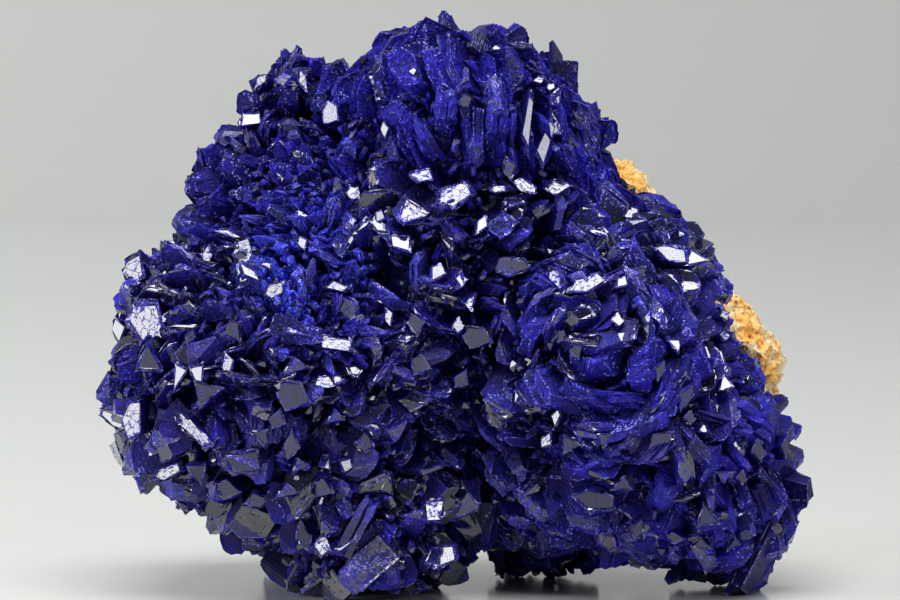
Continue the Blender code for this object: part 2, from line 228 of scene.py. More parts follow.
# The crystals that stand out at the front are placed one by one: their kind, their place across
# and up, the width and height that shows, how far they are turned in the view (degrees), what
# their face mirrors (or "out", where their tip points outwards), and their finish.
Face = namedtuple("Face", "kind x z wide tall turn mirrors finish")
FACES = (
    # left lobe
    Face("plate", -31.9, 31.6, 2.2, 3.6, 10, "left", "crackled"),
    Face("plate", -30.9, 26.5, 3.4, 5.2, 5, "left", "crackled"),
    Face("kite", -34.2, 25.5, 1.6, 3.2, 8, "left", "polished"),
    Face("plate", -32.1, 16.5, 1.8, 4.0, -5, "left", "crackled"),
    Face("bar", -26.0, 15.6, 4.6, 1.0, -36, "left", "crackled"),
    Face("plate", -28.5, 11.2, 3.2, 1.6, 8, "left", "crackled"),
    Face("triangle", -27.2, 21.2, 1.6, 2.2, 160, "left", "polished"),
    Face("triangle", -25.4, 21.2, 1.8, 2.4, 190, "left", "polished"),
    Face("kite", -24.6, 33.0, 1.4, 3.0, -8, "left", "crackled"),
    Face("triangle", -30.3, 22.2, 3.4, 2.2, 0, "floor", "polished"),
    Face("triangle", -15.6, 21.9, 2.8, 1.9, 10, "floor", "polished"),
    Face("plate", -16.0, 19.0, 2.7, 2.7, 0, "floor", "polished"),
    Face("kite", -17.4, 16.5, 2.2, 2.0, 70, "floor", "polished"),
    Face("kite", -16.0, 13.9, 3.0, 2.0, 85, "foreground", "polished"),
    Face("plate", -20.9, 12.4, 4.2, 3.0, 0, "floor", "polished"),
    Face("triangle", -15.2, 12.0, 1.8, 1.6, 20, "floor", "polished"),
    Face("triangle", -24.6, 19.2, 3.2, 2.7, 30, "floor", "polished"),
    Face("kite", -21.7, 25.5, 1.6, 3.0, 25, "floor", "polished"),
    Face("kite", -26.2, 24.6, 1.2, 2.6, -10, "floor", "speckled"),
    Face("kite", -22.4, 22.0, 1.6, 2.2, 10, "left", "speckled"),
    Face("kite", -22.4, 9.4, 2.4, 3.2, 72, "foreground", "polished"),
    Face("kite", -19.4, 8.4, 2.0, 2.6, 100, "foreground", "polished"),
    Face("triangle", -16.4, 9.4, 2.8, 1.8, 5, "foreground", "polished"),
    Face("kite", -12.8, 9.8, 2.0, 2.6, 60, "foreground", "polished"),
    Face("triangle", -25.4, 11.4, 2.4, 1.8, 190, "floor", "polished"),
    Face("plate", -12.3, 20.5, 2.4, 1.5, 25, "top", "crackled"),
    Face("kite", -12.6, 12.4, 1.6, 2.0, 30, "left", "crackled"),
    Face("kite", -10.6, 12.0, 1.8, 1.8, -20, "right", "speckled"),
    Face("triangle", -19.0, 15.0, 2.0, 2.0, 200, "floor", "polished"),
    Face("triangle", -11.6, 16.8, 2.0, 1.6, 0, "floor", "polished"),
    Face("kite", -8.6, 14.2, 2.6, 1.8, 80, "floor", "polished"),
    # druse and middle
    Face("bar", -20.1, 46.6, 2.0, 1.0, 10, "top", "polished"),
    Face("kite", -6.7, 45.5, 0.9, 2.0, 5, "left", "polished"),
    Face("plate", -9.9, 39.2, 1.3, 1.3, 0, "top", "crackled"),
    Face("kite", -14.9, 34.2, 1.1, 1.7, 20, "left", "polished"),
    Face("kite", -7.2, 36.8, 1.6, 1.3, 60, "left", "speckled"),
    Face("kite", -5.0, 34.2, 2.0, 3.0, 50, "top", "polished"),
    Face("plate", -21.0, 33.3, 1.8, 2.6, 5, "left", "crackled"),
    Face("plate", -17.8, 29.4, 2.2, 1.8, 0, "left", "crackled"),
    Face("bar", -11.4, 29.8, 2.0, 0.8, -30, "top", "crackled"),
    Face("bar", -11.8, 24.2, 3.6, 1.1, -14, "top", "crackled"),
    Face("bar", -14.6, 25.6, 3.4, 1.2, -20, "top", "speckled"),
    Face("kite", -6.3, 26.8, 1.2, 1.7, 15, "left", "polished"),
    Face("kite", -1.4, 31.2, 2.6, 1.9, 70, "top", "speckled"),
    Face("kite", 1.0, 30.5, 1.3, 1.5, 0, "top", "polished"),
    Face("triangle", 1.8, 28.2, 1.6, 1.9, 195, "top", "polished"),
    Face("kite", 0.6, 25.8, 1.4, 1.7, 0, "left", "speckled"),
    Face("kite", 3.0, 36.0, 1.2, 2.6, -30, "top", "polished"),
    Face("plate", 6.0, 32.0, 3.0, 2.2, 10, "floor", "polished"),
    Face("plate", 2.4, 24.8, 2.4, 2.0, 0, "floor", "polished"),
    Face("kite", 1.0, 20.5, 2.2, 1.7, 60, "floor", "polished"),
    Face("kite", -3.6, 26.0, 1.8, 2.8, 10, "floor", "polished"),
    Face("kite", -3.2, 22.0, 2.2, 2.6, -25, "floor", "polished"),
    # crown
    Face("plate", -3.0, 41.0, 2.4, 1.6, 10, "top", "crackled"),
    Face("plate", 0.2, 38.9, 4.0, 2.6, 22, "top", "crackled"),
    Face("plate", 4.6, 39.6, 1.8, 0.9, -10, "top", "crackled"),
    Face("plate", 7.4, 40.0, 2.2, 1.4, -35, "top", "crackled"),
    Face("plate", 10.4, 39.9, 2.2, 1.4, 20, "top", "crackled"),
    Face("kite", 4.5, 53.6, 1.0, 0.9, 0, "top", "polished"),
    Face("kite", -3.8, 51.4, 0.9, 0.9, 0, "top", "polished"),
    Face("bar", 7.7, 46.5, 5.4, 0.7, 75, "right", "speckled"),
    Face("bar", 10.3, 47.4, 4.4, 1.1, 82, "right", "speckled"),
    Face("bar", 9.5, 44.4, 4.6, 1.0, 62, "right", "speckled"),
    Face("kite", 8.6, 50.5, 1.4, 0.9, 20, "top", "polished"),
    Face("plate", 9.9, 49.8, 0.9, 0.8, 0, "top", "polished"),
    Face("book", 6.0, 46.0, 5.2, 1.4, 84, "out", "frosted"),
    Face("kite", -19.0, 50.4, 1.0, 2.6, -40, "left", "crackled"),
    Face("kite", -14.9, 50.4, 1.1, 3.0, 20, "left", "crackled"),
    Face("plate", -12.2, 47.2, 1.5, 2.0, -15, "left", "speckled"),
    Face("blade", -13.2, 52.4, 3.8, 1.8, 8, "out", "frosted"),
    Face("blade", -24.0, 43.4, 4.0, 1.8, 10, "out", "frosted"),
    Face("kite", 1.5, 48.3, 1.4, 2.2, 10, "floor", "polished"),
    Face("kite", 5.8, 41.6, 1.6, 2.2, 10, "floor", "polished"),
    Face("book", -0.6, 47.4, 4.6, 2.6, 86, "out", "frosted"),
    Face("blade", -5.4, 46.6, 6.0, 2.6, 128, "out", "frosted"),
    Face("book", -2.8, 44.6, 5.0, 2.2, 120, "out", "frosted"),
    Face("book", 4.6, 46.0, 5.0, 2.6, 84, "out", "frosted"),
    # right lobe
    Face("plate", 13.6, 30.2, 3.4, 1.7, 32, "top", "crackled"),
    Face("kite", 17.0, 30.2, 1.7, 1.4, 60, "top", "polished"),
    Face("kite", 16.6, 26.4, 1.4, 1.4, 10, "top", "polished"),
    Face("bar", 17.5, 24.9, 1.9, 0.9, 10, "top", "polished"),
    Face("triangle", 22.4, 24.2, 1.5, 1.5, 200, "top", "polished"),
    Face("triangle", 27.4, 20.1, 1.5, 1.8, 0, "top", "polished"),
    Face("kite", 27.2, 27.0, 1.2, 1.4, 20, "right", "polished"),
    Face("kite", 27.2, 25.0, 1.3, 1.3, 0, "right", "crackled"),
    Face("plate", 21.8, 33.3, 3.2, 1.8, -18, "top", "speckled"),
    Face("triangle", 24.2, 32.7, 2.2, 1.8, -100, "top", "polished"),
    Face("kite", 18.2, 37.2, 1.8, 2.2, 30, "top", "speckled"),
    Face("kite", 10.5, 16.8, 0.9, 2.1, -10, "left", "polished"),
    Face("kite", 9.5, 14.4, 1.9, 1.4, 60, "left", "crackled"),
    Face("kite", 12.4, 23.4, 1.5, 2.3, 10, "floor", "polished"),
    Face("kite", 11.0, 24.8, 1.6, 1.3, 60, "floor", "polished"),
    Face("kite", 23.4, 18.8, 1.6, 3.6, -25, "floor", "speckled"),
    Face("blade", 25.4, 22.2, 5.0, 2.4, 112, "out", "frosted"),
    Face("triangle", 17.3, 9.9, 2.4, 1.4, 0, "floor", "polished"),
    Face("plate", 14.4, 8.5, 3.7, 2.1, -10, "floor", "polished"),
    Face("triangle", 11.8, 14.0, 2.2, 1.9, 20, "floor", "polished"),
    Face("triangle", 15.2, 14.7, 1.8, 1.4, 180, "floor", "polished"),
    Face("kite", 23.8, 16.6, 1.4, 1.5, 0, "floor", "polished"),
    Face("bar", 21.0, 14.6, 2.4, 1.1, 12, "floor", "polished"),
    Face("triangle", 27.3, 10.9, 2.0, 1.4, 170, "floor", "polished"),
    Face("kite", 29.0, 10.6, 1.3, 1.6, 0, "floor", "polished"),
    Face("kite", 30.7, 13.2, 1.7, 2.4, 10, "floor", "polished"),
    Face("kite", 33.4, 13.6, 1.1, 2.6, -5, "floor", "polished"),
    Face("kite", 18.7, 5.4, 2.6, 1.4, 80, "floor", "polished"),
    Face("triangle", 25.6, 6.6, 2.8, 1.9, 10, "floor", "polished"),
    Face("kite", 29.3, 4.9, 1.9, 1.5, 70, "floor", "polished"),
    Face("kite", 22.4, 4.6, 1.4, 2.4, 80, "foreground", "polished"),
    Face("triangle", 25.0, 4.0, 2.0, 1.3, -8, "foreground", "polished"),
    Face("kite", 20.8, 21.4, 1.3, 2.6, -15, "floor", "polished"),
    Face("blade", 19.2, 22.0, 4.6, 2.4, 80, "out", "frosted"),
    Face("blade", 15.0, 22.0, 6.0, 2.4, 5, "out", "frosted"),
    Face("blade", 18.6, 15.9, 6.2, 2.4, 12, "out", "frosted"),
    Face("book", 16.6, 18.6, 5.6, 2.0, -4, "out", "frosted"),
    Face("blade", 20.0, 23.4, 5.2, 2.6, 62, "out", "frosted"),
    Face("book", 21.6, 19.6, 5.4, 2.2, 68, "out", "frosted"),
    Face("blade", 26.2, 12.8, 5.4, 2.8, 100, "out", "frosted"),
    Face("petal", 31.4, 17.6, 7.4, 2.8, 112, "out", "frosted"),
    Face("book", 28.4, 16.6, 5.6, 2.2, 104, "out", "frosted"),
    Face("book", 7.4, 25.8, 5.6, 3.4, 58, "out", "frosted"),
    Face("blade", 13.4, 11.4, 5.6, 2.4, 28, "out", "frosted"),
    Face("petal", 21.4, 9.0, 6.0, 2.6, 70, "out", "frosted"),
    Face("petal", 19.0, 3.6, 6.4, 2.4, -12, "out", "frosted"),
    Face("petal", 28.6, 2.6, 5.6, 2.6, 30, "out", "frosted"),
    # feet
    Face("plate", -1.8, 7.6, 2.2, 3.2, -15, "top", "crackled"),
    Face("plate", -1.2, 2.8, 3.6, 2.6, 0, "top", "speckled"),
    Face("kite", 1.8, 2.8, 2.0, 2.4, -15, "top", "speckled"),
    Face("petal", -8.4, 2.6, 5.4, 2.6, 20, "out", "frosted"),
    Face("blade", -6.4, 0.6, 5.0, 2.4, -10, "out", "frosted"),
    Face("plate", -13.0, 4.0, 1.8, 2.6, 15, "left", "crackled"),
    Face("kite", -14.8, 4.6, 1.8, 3.2, 15, "floor", "polished"),
)
FACE_DEPTH = 4.6  # at most, from a flat face down to its root
BLADE_DEPTH = 6.0  # the same of a blade that points outwards
FACE_LEVEL = -0.5  # where the middle of its tip lies, from the cluster's surface
# Where the rock shows between the crystals, across and up.
ROCK_SHOWS = ((17.2, 40.8), (18.4, 40.0), (19.6, 39.6), (29.6, 27.6), (31.2, 25.2), (32.6, 22.4))


# ------------------------------------------------------------------ settings


def colour(name, description, default):
    """A colour that a user may change."""
    return FloatVectorProperty(
        name=name, description=description, default=default, min=0.0, max=1.0, subtype="COLOR"
    )


class AzuriteSettings(bpy.types.PropertyGroup):
    """The azurite's colours and how its crystals are packed."""

    packing: FloatProperty(
        name="Packing",
        description="Spacing of the crystals, against the usual one",
        default=1.0,
        min=0.7,
        max=3.0,
        subtype="FACTOR",
    )
    deep: colour("Deep blue", "Colour seen through a polished face", (0.008, 0.010, 0.062))
    blue: colour("Azure", "Colour of a frosted face", (0.018, 0.013, 0.32))
    edge: colour(
        "Edge blue",
        "Colour of a crystal's thin rim, where light passes through",
        (0.05, 0.045, 0.85),
    )
    cobalt: colour("Cobalt", "Colour of the powdery patches", (0.055, 0.09, 0.85))
    # Pale specks of painted glints, standing in for light caught along the crystals' edges.
    wear_and_glint: colour(
        "Painted glints", "Colour of the pale specks along a crystal's edges", (0.30, 0.30, 0.80)
    )


class LimoniteSettings(bpy.types.PropertyGroup):
    """The rock's colours and roughness."""

    ochre: colour("Ochre", "Main colour of the rock", (0.95, 0.52, 0.13))
    rust: colour("Rust", "Colour in the rock's hollows", (0.38, 0.11, 0.012))
    cream: colour("Cream", "Colour of the rock's pale crusts", (0.98, 0.84, 0.52))
    malachite: colour("Malachite", "Colour of the green specks", (0.10, 0.34, 0.12))
    relief: FloatProperty(
        name="Relief",
        description="Height of the lumps and pits of the rock",
        default=0.0009,
        min=0.0,
        max=0.003,
        unit="LENGTH",
        precision=5,
    )


class StageSettings(bpy.types.PropertyGroup):
    """The floor's colour and the camera."""

    floor_colour: colour("Floor", "Colour of the floor and the backdrop", (0.66, 0.67, 0.645))
    camera_distance: FloatProperty(
        name="Camera distance",
        description="From the camera to the middle of the specimen",
        default=VIEW_DISTANCE * MM,
        min=0.2,
        max=3.0,
        unit="LENGTH",
    )
    camera_height: FloatProperty(
        name="Camera elevation",
        description="Angle at which the camera looks down",
        default=VIEW_RISE,
        min=0.0,
        max=math.radians(90.0),
        subtype="ANGLE",
    )


# ------------------------------------------------------------------ modelling by operators


SHARP = math.cos(math.radians(20.0))  # faces that turn by more than this meet in an edge
RAGGED_DOWN_TO = -3.0  # edges further below the tip stay whole
RAGGED_OVER = 0.6  # shorter edges stay whole
BLADE_SIZE = (5.0, 1.6, 5.4)  # width, thickness and height of a blade, a book and a petal


def only(obj):
    """Makes the object the one that is selected and active."""
    bpy.ops.object.select_all(action="DESELECT")
    obj.select_set(True)
    bpy.context.view_layer.objects.active = obj


def slab(name, width, thickness, height):
    """A slab with its tip at z = 0 and its root below. Crystals are modelled in millimetres."""
    bpy.ops.object.select_all(action="DESELECT")
    size = (width, thickness, height)
    bpy.ops.mesh.primitive_cube_add(size=1.0, location=(0.0, 0.0, -height / 2), scale=size)
    obj = bpy.context.object
    obj.name = name
    bpy.ops.object.transform_apply(location=True, rotation=False, scale=True)
    return obj


def cut(planes):
    """In edit mode: cuts a flat facet for each plane and closes it."""
    for at, normal in planes:
        bpy.ops.mesh.select_all(action="SELECT")
        bpy.ops.mesh.bisect(plane_co=at, plane_no=normal, use_fill=True, clear_outer=True)


def select_faces(mesh, chosen):
    """In object mode: leaves selected only the faces for which chosen is true."""
    for vert in mesh.vertices:
        vert.select = False
    for edge in mesh.edges:
        edge.select = False
    for face in mesh.polygons:
        face.select = bool(chosen(face))


def sloped(side, angle, axis="y"):
    """A unit normal that rises from the side's direction by the angle in degrees."""
    rise = math.radians(angle)
    flat = side * math.cos(rise)
    return (0.0, flat, math.sin(rise)) if axis == "y" else (flat, 0.0, math.sin(rise))


def sharp_edges(mesh):
    """The edges where two faces meet at an angle, as pairs of vertices."""
    sides = {}
    for face in mesh.polygons:
        for key in face.edge_keys:
            sides.setdefault(key, []).append(face.normal)
    return {key for key, pair in sides.items() if len(pair) == 2 and pair[0].dot(pair[1]) < SHARP}


def ragged(obj, size, seed, cuts=2):
    """In object mode: breaks the edges near a crystal's tip into short uneven lengths."""
    mesh = obj.data
    sharp = sharp_edges(mesh)
    select_faces(mesh, lambda face: False)
    for edge in mesh.edges:
        first, second = (mesh.vertices[i].co for i in edge.vertices)
        near = max(first.z, second.z) > RAGGED_DOWN_TO
        edge.select = near and edge.key in sharp and (first - second).length > RAGGED_OVER
    bpy.context.tool_settings.mesh_select_mode = (False, True, False)
    bpy.ops.object.mode_set(mode="EDIT")
    bpy.ops.mesh.subdivide(number_cuts=cuts)
    bpy.ops.transform.vertex_random(offset=size, uniform=1.0, seed=seed)
    bpy.ops.object.mode_set(mode="OBJECT")


def rim(thickness, depth):
    """In object mode, with faces selected: gives each a low rim of its own."""
    bpy.ops.object.mode_set(mode="EDIT")
    bpy.ops.mesh.select_mode(type="FACE")
    bpy.ops.mesh.inset(thickness=thickness, depth=depth, use_individual=True)
    bpy.ops.object.mode_set(mode="OBJECT")


def model_blade(name, rng):
    """A single tabular crystal: bevelled sides, a roof of two facets on the tip, slanting ends,
    a corner or two cut off, and a low rim round each face."""
    width, thickness, height = BLADE_SIZE
    obj = slab(name, width, thickness, height)
    wide = rng.choice((-1, 1))
    crest = Vector((rng.uniform(-1.0, 1.0), -wide * rng.uniform(0.1, 0.5), 0.0))
    planes = [
        (crest, sloped(wide, rng.uniform(32, 62))),
        (crest - Vector((0.0, 0.0, 0.04)), sloped(-wide, rng.uniform(18, 40))),
    ]
    for side in (-1, 1):
        end = crest + Vector((side * rng.uniform(0.3, 1.3), 0.0, 0.0))
        planes.append((end, sloped(side, rng.uniform(25, 60), "x")))
    for side in rng.sample((-1, 1), rng.choice((1, 2))):
        corner = crest + Vector((side * rng.uniform(0.5, 1.4), wide * 0.2, -rng.uniform(0.2, 0.9)))
        cant = Vector((side * rng.uniform(0.4, 0.8), wide * rng.uniform(0.4, 0.9), 0.6))
        planes.append((corner, cant.normalized()))
    for side in (-1, 1):
        corner = Vector((side * width / 2, wide * thickness * rng.uniform(-0.1, 0.3), 0.0))
        turn = math.radians(rng.uniform(40, 66))
        planes.append((corner, (side * math.cos(turn), wide * math.sin(turn), 0.0)))
    bpy.ops.object.mode_set(mode="EDIT")
    cut(planes)
    bpy.ops.object.mode_set(mode="OBJECT")
    select_faces(obj.data, lambda face: face.normal.z > -0.5 and face.area > 0.6)
    rim(0.3, 0.0)
    ragged(obj, 0.2, rng.randrange(1000))
    return obj


def model_leaf(name, rng, thickness, shift, drop, turn, outer):
    """One leaf of a book: a thin slab with a slanting tip. Its outer face, if any, gets a rim."""
    width, _, height = BLADE_SIZE
    obj = slab(name, width * rng.uniform(0.82, 1.0), thickness, height)
    crest = Vector((rng.uniform(-0.9, 0.9), 0.0, 0.0))
    side = rng.choice((-1, -1, 1))
    at = crest + Vector((0.0, -0.2 * side * thickness, 0.0))
    planes = [(at, sloped(side, rng.uniform(35, 65)))]
    for side in (-1, 1):
        end = crest + Vector((side * rng.uniform(0.2, 1.2), 0.0, 0.0))
        planes.append((end, sloped(side, rng.uniform(25, 60), "x")))
    bpy.ops.object.mode_set(mode="EDIT")
    cut(planes)
    bpy.ops.mesh.select_all(action="SELECT")
    bpy.ops.transform.rotate(value=turn, orient_axis="X", center_override=(0.0, 0.0, -height))
    bpy.ops.transform.translate(value=(rng.uniform(-0.4, 0.4), shift, -drop))
    bpy.ops.object.mode_set(mode="OBJECT")
    select_faces(obj.data, lambda face: face.normal.z > 0.3 and face.area > 0.7)
    rim(0.12, 0.0)
    select_faces(obj.data, lambda face: face.normal.y * outer > 0.8)
    rim(0.22, 0.0)
    ragged(obj, 0.12, rng.randrange(1000), cuts=1)
    return obj


def model_book(name, rng):
    """A stack of thin crystals grown together, each a little higher or lower than the next."""
    leaves = []
    count = rng.choice((3, 3, 4))
    for i in range(count):
        place = (i - (count - 1) / 2) / count
        leaf = model_leaf(
            name,
            rng,
            thickness=rng.uniform(1.0, 1.35) * BLADE_SIZE[1] / count,
            shift=place * BLADE_SIZE[1],
            drop=rng.uniform(0.0, 0.7),
            turn=-place * math.radians(rng.uniform(2, 9)),
            outer=-1 if i == 0 else 1 if i == count - 1 else 0,
        )
        leaves.append(leaf)
    bpy.ops.object.select_all(action="DESELECT")
    for leaf in leaves:
        leaf.select_set(True)
    bpy.context.view_layer.objects.active = leaves[0]
    bpy.ops.object.join()
    return leaves[0]


def model_petal(name, rng):
    """A lens with a curved outline: facets slope from its rim to a flat middle on both faces."""
    width, thickness, height = BLADE_SIZE
    bpy.ops.object.select_all(action="DESELECT")
    bpy.ops.mesh.primitive_cylinder_add(
        vertices=rng.choice((9, 10, 11)), radius=0.5, depth=1.0, rotation=(math.pi / 2, 0.0, 0.0)
    )
    obj = bpy.context.object
    obj.name = name
    obj.scale = (width, height * 1.5, thickness * rng.uniform(0.3, 0.5))
    bpy.ops.object.transform_apply(rotation=True, scale=True)
    select_faces(obj.data, lambda face: abs(face.normal.y) > 0.9)
    rim(rng.uniform(0.5, 0.8), thickness * rng.uniform(0.25, 0.35))
    top = max(vert.co.z for vert in obj.data.vertices)
    bpy.ops.object.mode_set(mode="EDIT")
    bpy.ops.mesh.select_all(action="SELECT")
    turn = rng.uniform(-0.25, 0.25)
    bpy.ops.transform.rotate(value=turn, orient_axis="Y", center_override=(0.0, 0.0, 0.0))
    cut([((0.0, 0.0, top - height), (0.0, 0.0, -1.0))])
    for _ in range(rng.choice((0, 1, 2))):
        side, face = rng.choice((-1, 1)), rng.choice((-1, 1))
        at = Vector((side * rng.uniform(0.9, 1.6), 0.0, top - rng.uniform(0.3, 1.0)))
        cant = Vector((side * rng.uniform(0.2, 0.7), face * rng.uniform(0.5, 0.9), 0.7))
        cut([(at, cant.normalized())])
    bpy.ops.mesh.select_all(action="SELECT")
    bpy.ops.transform.translate(value=(0.0, 0.0, -top))
    bpy.ops.object.mode_set(mode="OBJECT")
    select_faces(obj.data, lambda face: abs(face.normal.y) > 0.9 and face.area > 2.0)
    rim(0.22, -0.05)
    ragged(obj, 0.12, rng.randrange(1000), cuts=1)
    return obj


def model_gem(name, rng):
    """A squat crystal with a cap of many facets."""
    obj = slab(name, 5.0, 3.4, 4.5)
    turn = rng.uniform(0, math.tau)
    count = rng.choice((5, 6, 7))
    planes = []
    for _ in range(count):
        turn += math.tau / count * rng.uniform(0.7, 1.3)
        rise = math.radians(rng.uniform(22, 68))
        normal = Vector((math.cos(turn) * 0.75, math.sin(turn), math.tan(rise))).normalized()
        at = Vector((normal.x * 1.5, normal.y, normal.z * 1.4 - 1.4))
        planes.append((at * rng.uniform(0.8, 1.1), normal))
    bpy.ops.object.mode_set(mode="EDIT")
    cut(planes)
    bpy.ops.mesh.select_all(action="SELECT")
    top = max(vert.co.z for vert in bmesh.from_edit_mesh(obj.data).verts)
    bpy.ops.transform.translate(value=(0.0, 0.0, -top))
    bpy.ops.object.mode_set(mode="OBJECT")
    select_faces(obj.data, lambda face: face.normal.z > 0.1 and face.area > 0.2)
    rim(0.22, 0.0)
    ragged(obj, 0.12, rng.randrange(1000))
    return obj


# The sides of a crystal with a flat top: how far round each stands (degrees), and how far out.
TABLE_SIDES = {
    "triangle": ((30, 1.25), (150, 1.25), (270, 1.2)),
    "kite": ((35, 1.5), (145, 1.5), (215, 1.5), (325, 1.5)),
    "bar": ((0, 1.7), (90, 1.5), (180, 1.7), (270, 1.5)),
    "plate": ((15, 1.9), (85, 1.5), (150, 1.8), (215, 1.7), (290, 1.6)),
}


def model_table(name, rng):
    """A crystal with a flat top of three to six sides and the odd facet along its edges."""
    obj = slab(name, 11.0, 10.0, FACE_DEPTH)
    planes = []
    for angle, out in TABLE_SIDES[name]:
        turn = math.radians(angle + rng.uniform(-15, 15))
        out *= rng.uniform(0.8, 1.15)
        for rise, step in ((rng.uniform(-12, 3), 0.0), (rng.uniform(30, 60), -0.25)):
            if step and rng.random() < 0.65:
                continue
            slope = math.radians(rise)
            at = Vector((math.cos(turn), math.sin(turn), 0.0)) * (out + step)
            flat = math.cos(slope)
            planes.append((at, (math.cos(turn) * flat, math.sin(turn) * flat, math.sin(slope))))
    bpy.ops.object.mode_set(mode="EDIT")
    cut(planes)
    bpy.ops.object.mode_set(mode="OBJECT")
    select_faces(obj.data, lambda face: face.normal.z > 0.1 and face.area > 0.2)
    rim(0.3, 0.0)
    ragged(obj, 0.2, rng.randrange(1000), cuts=3)
    return obj


def model_chip(name, rng):
    """A small stubby crystal with a roof of three or four facets."""
    obj = slab(name, 1.2, 0.7, 1.6)
    crest = Vector((rng.uniform(-0.25, 0.25), rng.uniform(-0.1, 0.1), 0.0))
    planes = [
        (crest, sloped(-1, rng.uniform(30, 60))),
        (crest, sloped(1, rng.uniform(25, 60))),
        (crest + Vector((0.12, 0.0, 0.0)), sloped(1, rng.uniform(25, 60), "x")),
        (crest - Vector((0.12, 0.0, 0.0)), sloped(-1, rng.uniform(25, 60), "x")),
    ]
    planes = [(at - Vector((0.0, 0.0, 0.02 * i)), normal) for i, (at, normal) in enumerate(planes)]
    bpy.ops.object.mode_set(mode="EDIT")
    cut(planes)
    bpy.ops.object.mode_set(mode="OBJECT")
    return obj


# A pattern is a modelled crystal as arrays: its points, its triangles, the part of the crystal
# that each triangle is on, and for every corner its UV in millimetres, how near an edge it is, and
# how far below the tip (1 at the root).
Pattern = namedtuple("Pattern", "points triangles parts uv edge depth")
BROAD, TIP, SIDE = 0, 1, 2
PART_TONE = np.array((0.37, 0.0, 0.61))  # what each part adds to its crystal's tone
TIP_ABOVE, BROAD_ABOVE = 0.3, 0.75  # how far the normals of a tip point up, of a broad face out
TIP_UV, SIDE_UV = 7.0, 13.0  # keep the parts apart in the UV map
THIN_EDGE = 0.35  # how strong the rim is on a sliver that is all edge


def corner_edges(mesh):
    """1 for each vertex where faces meet at an angle, 0 in the middle of a flat one."""
    edges = np.zeros(len(mesh.vertices))
    edges[[index for key in sharp_edges(mesh) for index in key]] = 1.0
    return edges


def pattern_of(obj):
    """Reads a modelled crystal into arrays and removes it."""
    mesh = obj.data
    mesh.calc_loop_triangles()
    points = np.array([vert.co for vert in mesh.vertices])
    edges = corner_edges(mesh)
    low = points[:, 2].min()
    triangles, parts, uv, edge, depth = [], [], [], [], []
    for tri in mesh.loop_triangles:
        normal = mesh.polygons[tri.polygon_index].normal
        part = TIP if normal.z > TIP_ABOVE else BROAD if abs(normal.y) > BROAD_ABOVE else SIDE
        near = [edges[index] for index in tri.vertices]
        triangles.append(tri.vertices[:])
        parts.append(part)
        whole = THIN_EDGE if min(near) > 0.5 else 1.0
        for index in tri.vertices:
            x, y, z = mesh.vertices[index].co
            flat = (z, x) if obj.name.startswith("petal") else (x, z)
            uv.append({BROAD: flat, TIP: (x + TIP_UV, 1.5 * y), SIDE: (y + SIDE_UV, z)}[part])
            edge.append(edges[index] * whole)
            depth.append(z / low)
    bpy.data.objects.remove(obj)
    bpy.data.meshes.remove(mesh)
    arrays = [np.array(column) for column in (triangles, parts, uv, edge, depth)]
    return Pattern(points, *arrays)


# Each kind's model and how many different ones are made of it.
MODELS = {
    "blade": (model_blade, 18),
    "book": (model_book, 12),
    "petal": (model_petal, 14),
    "gem": (model_gem, 16),
    "chip": (model_chip, 10),
    "triangle": (model_table, 5),
    "kite": (model_table, 6),
    "bar": (model_table, 4),
    "plate": (model_table, 8),
}
# The size that each kind counts as when it is scaled to the size asked for.
PATTERN_SIZE = {
    "blade": BLADE_SIZE,
    "book": (5.0, 1.8, 5.4),
    "petal": BLADE_SIZE,
    "gem": (5.0, 3.4, 5.4),
    "chip": (1.2, 0.7, 1.6),
    "triangle": (4.2, 3.7, FACE_DEPTH),
    "kite": (3.6, 5.0, FACE_DEPTH),
    "bar": (3.4, 3.0, FACE_DEPTH),
    "plate": (3.8, 3.5, FACE_DEPTH),
}
patterns = {}


def patterns_of(kind):
    """The patterns of a kind of crystal, modelled the first time they are asked for."""
    if kind not in patterns:
        model, count = MODELS[kind]
        made = [model(kind, random.Random(f"{kind} {i}")) for i in range(count)]
        patterns[kind] = [pattern_of(obj) for obj in made]
    return patterns[kind]


# ------------------------------------------------------------------ where crystals grow


TINY = 1e-9
STRAY = 0.33  # how far a crystal strays from its place in the spiral, as a share of the spacing


def units(vectors):
    """The vectors, each scaled to a length of one."""
    return vectors / np.maximum(np.linalg.norm(vectors, axis=1, keepdims=True), TINY)


def sites(lobe, spacing, rng):
    """Points spread over the lobe's surface in a spiral, and the normals there."""
    a, b, c = lobe.radii
    power = 1.6  # of the usual approximation of an ellipsoid's area
    mean = ((a * b) ** power + (a * c) ** power + (b * c) ** power) / 3
    count = max(8, round(4 * math.pi * mean ** (1 / power) / spacing**2))
    index = np.arange(count)
    z = 1 - 2 * (index + 0.5) / count
    turn = index * math.pi * (3 - math.sqrt(5))
    ring = np.sqrt(1 - z * z)
    unit = np.stack([ring * np.cos(turn), ring * np.sin(turn), z], axis=1)
    stray = rng.normal(0.0, STRAY * spacing / (sum(lobe.radii) / 3), unit.shape)
    unit = units(unit + stray)
    points = np.array(lobe.centre) + unit * np.array(lobe.radii)
    return points, units(unit / np.array(lobe.radii))


CENTRES = np.array([lobe.centre for lobe in LOBES.values()])
RADII = np.array([lobe.radii for lobe in LOBES.values()])


def distances(points):
    """Each point's distance out of each lobe (negative inside), and the directions straight out."""
    away = points[:, None] - CENTRES
    share = np.linalg.norm(away / RADII, axis=2)
    steep = away / RADII**2
    slope = np.maximum(np.linalg.norm(steep, axis=2), TINY)
    return share * (share - 1) / slope, steep / slope[:, :, None]


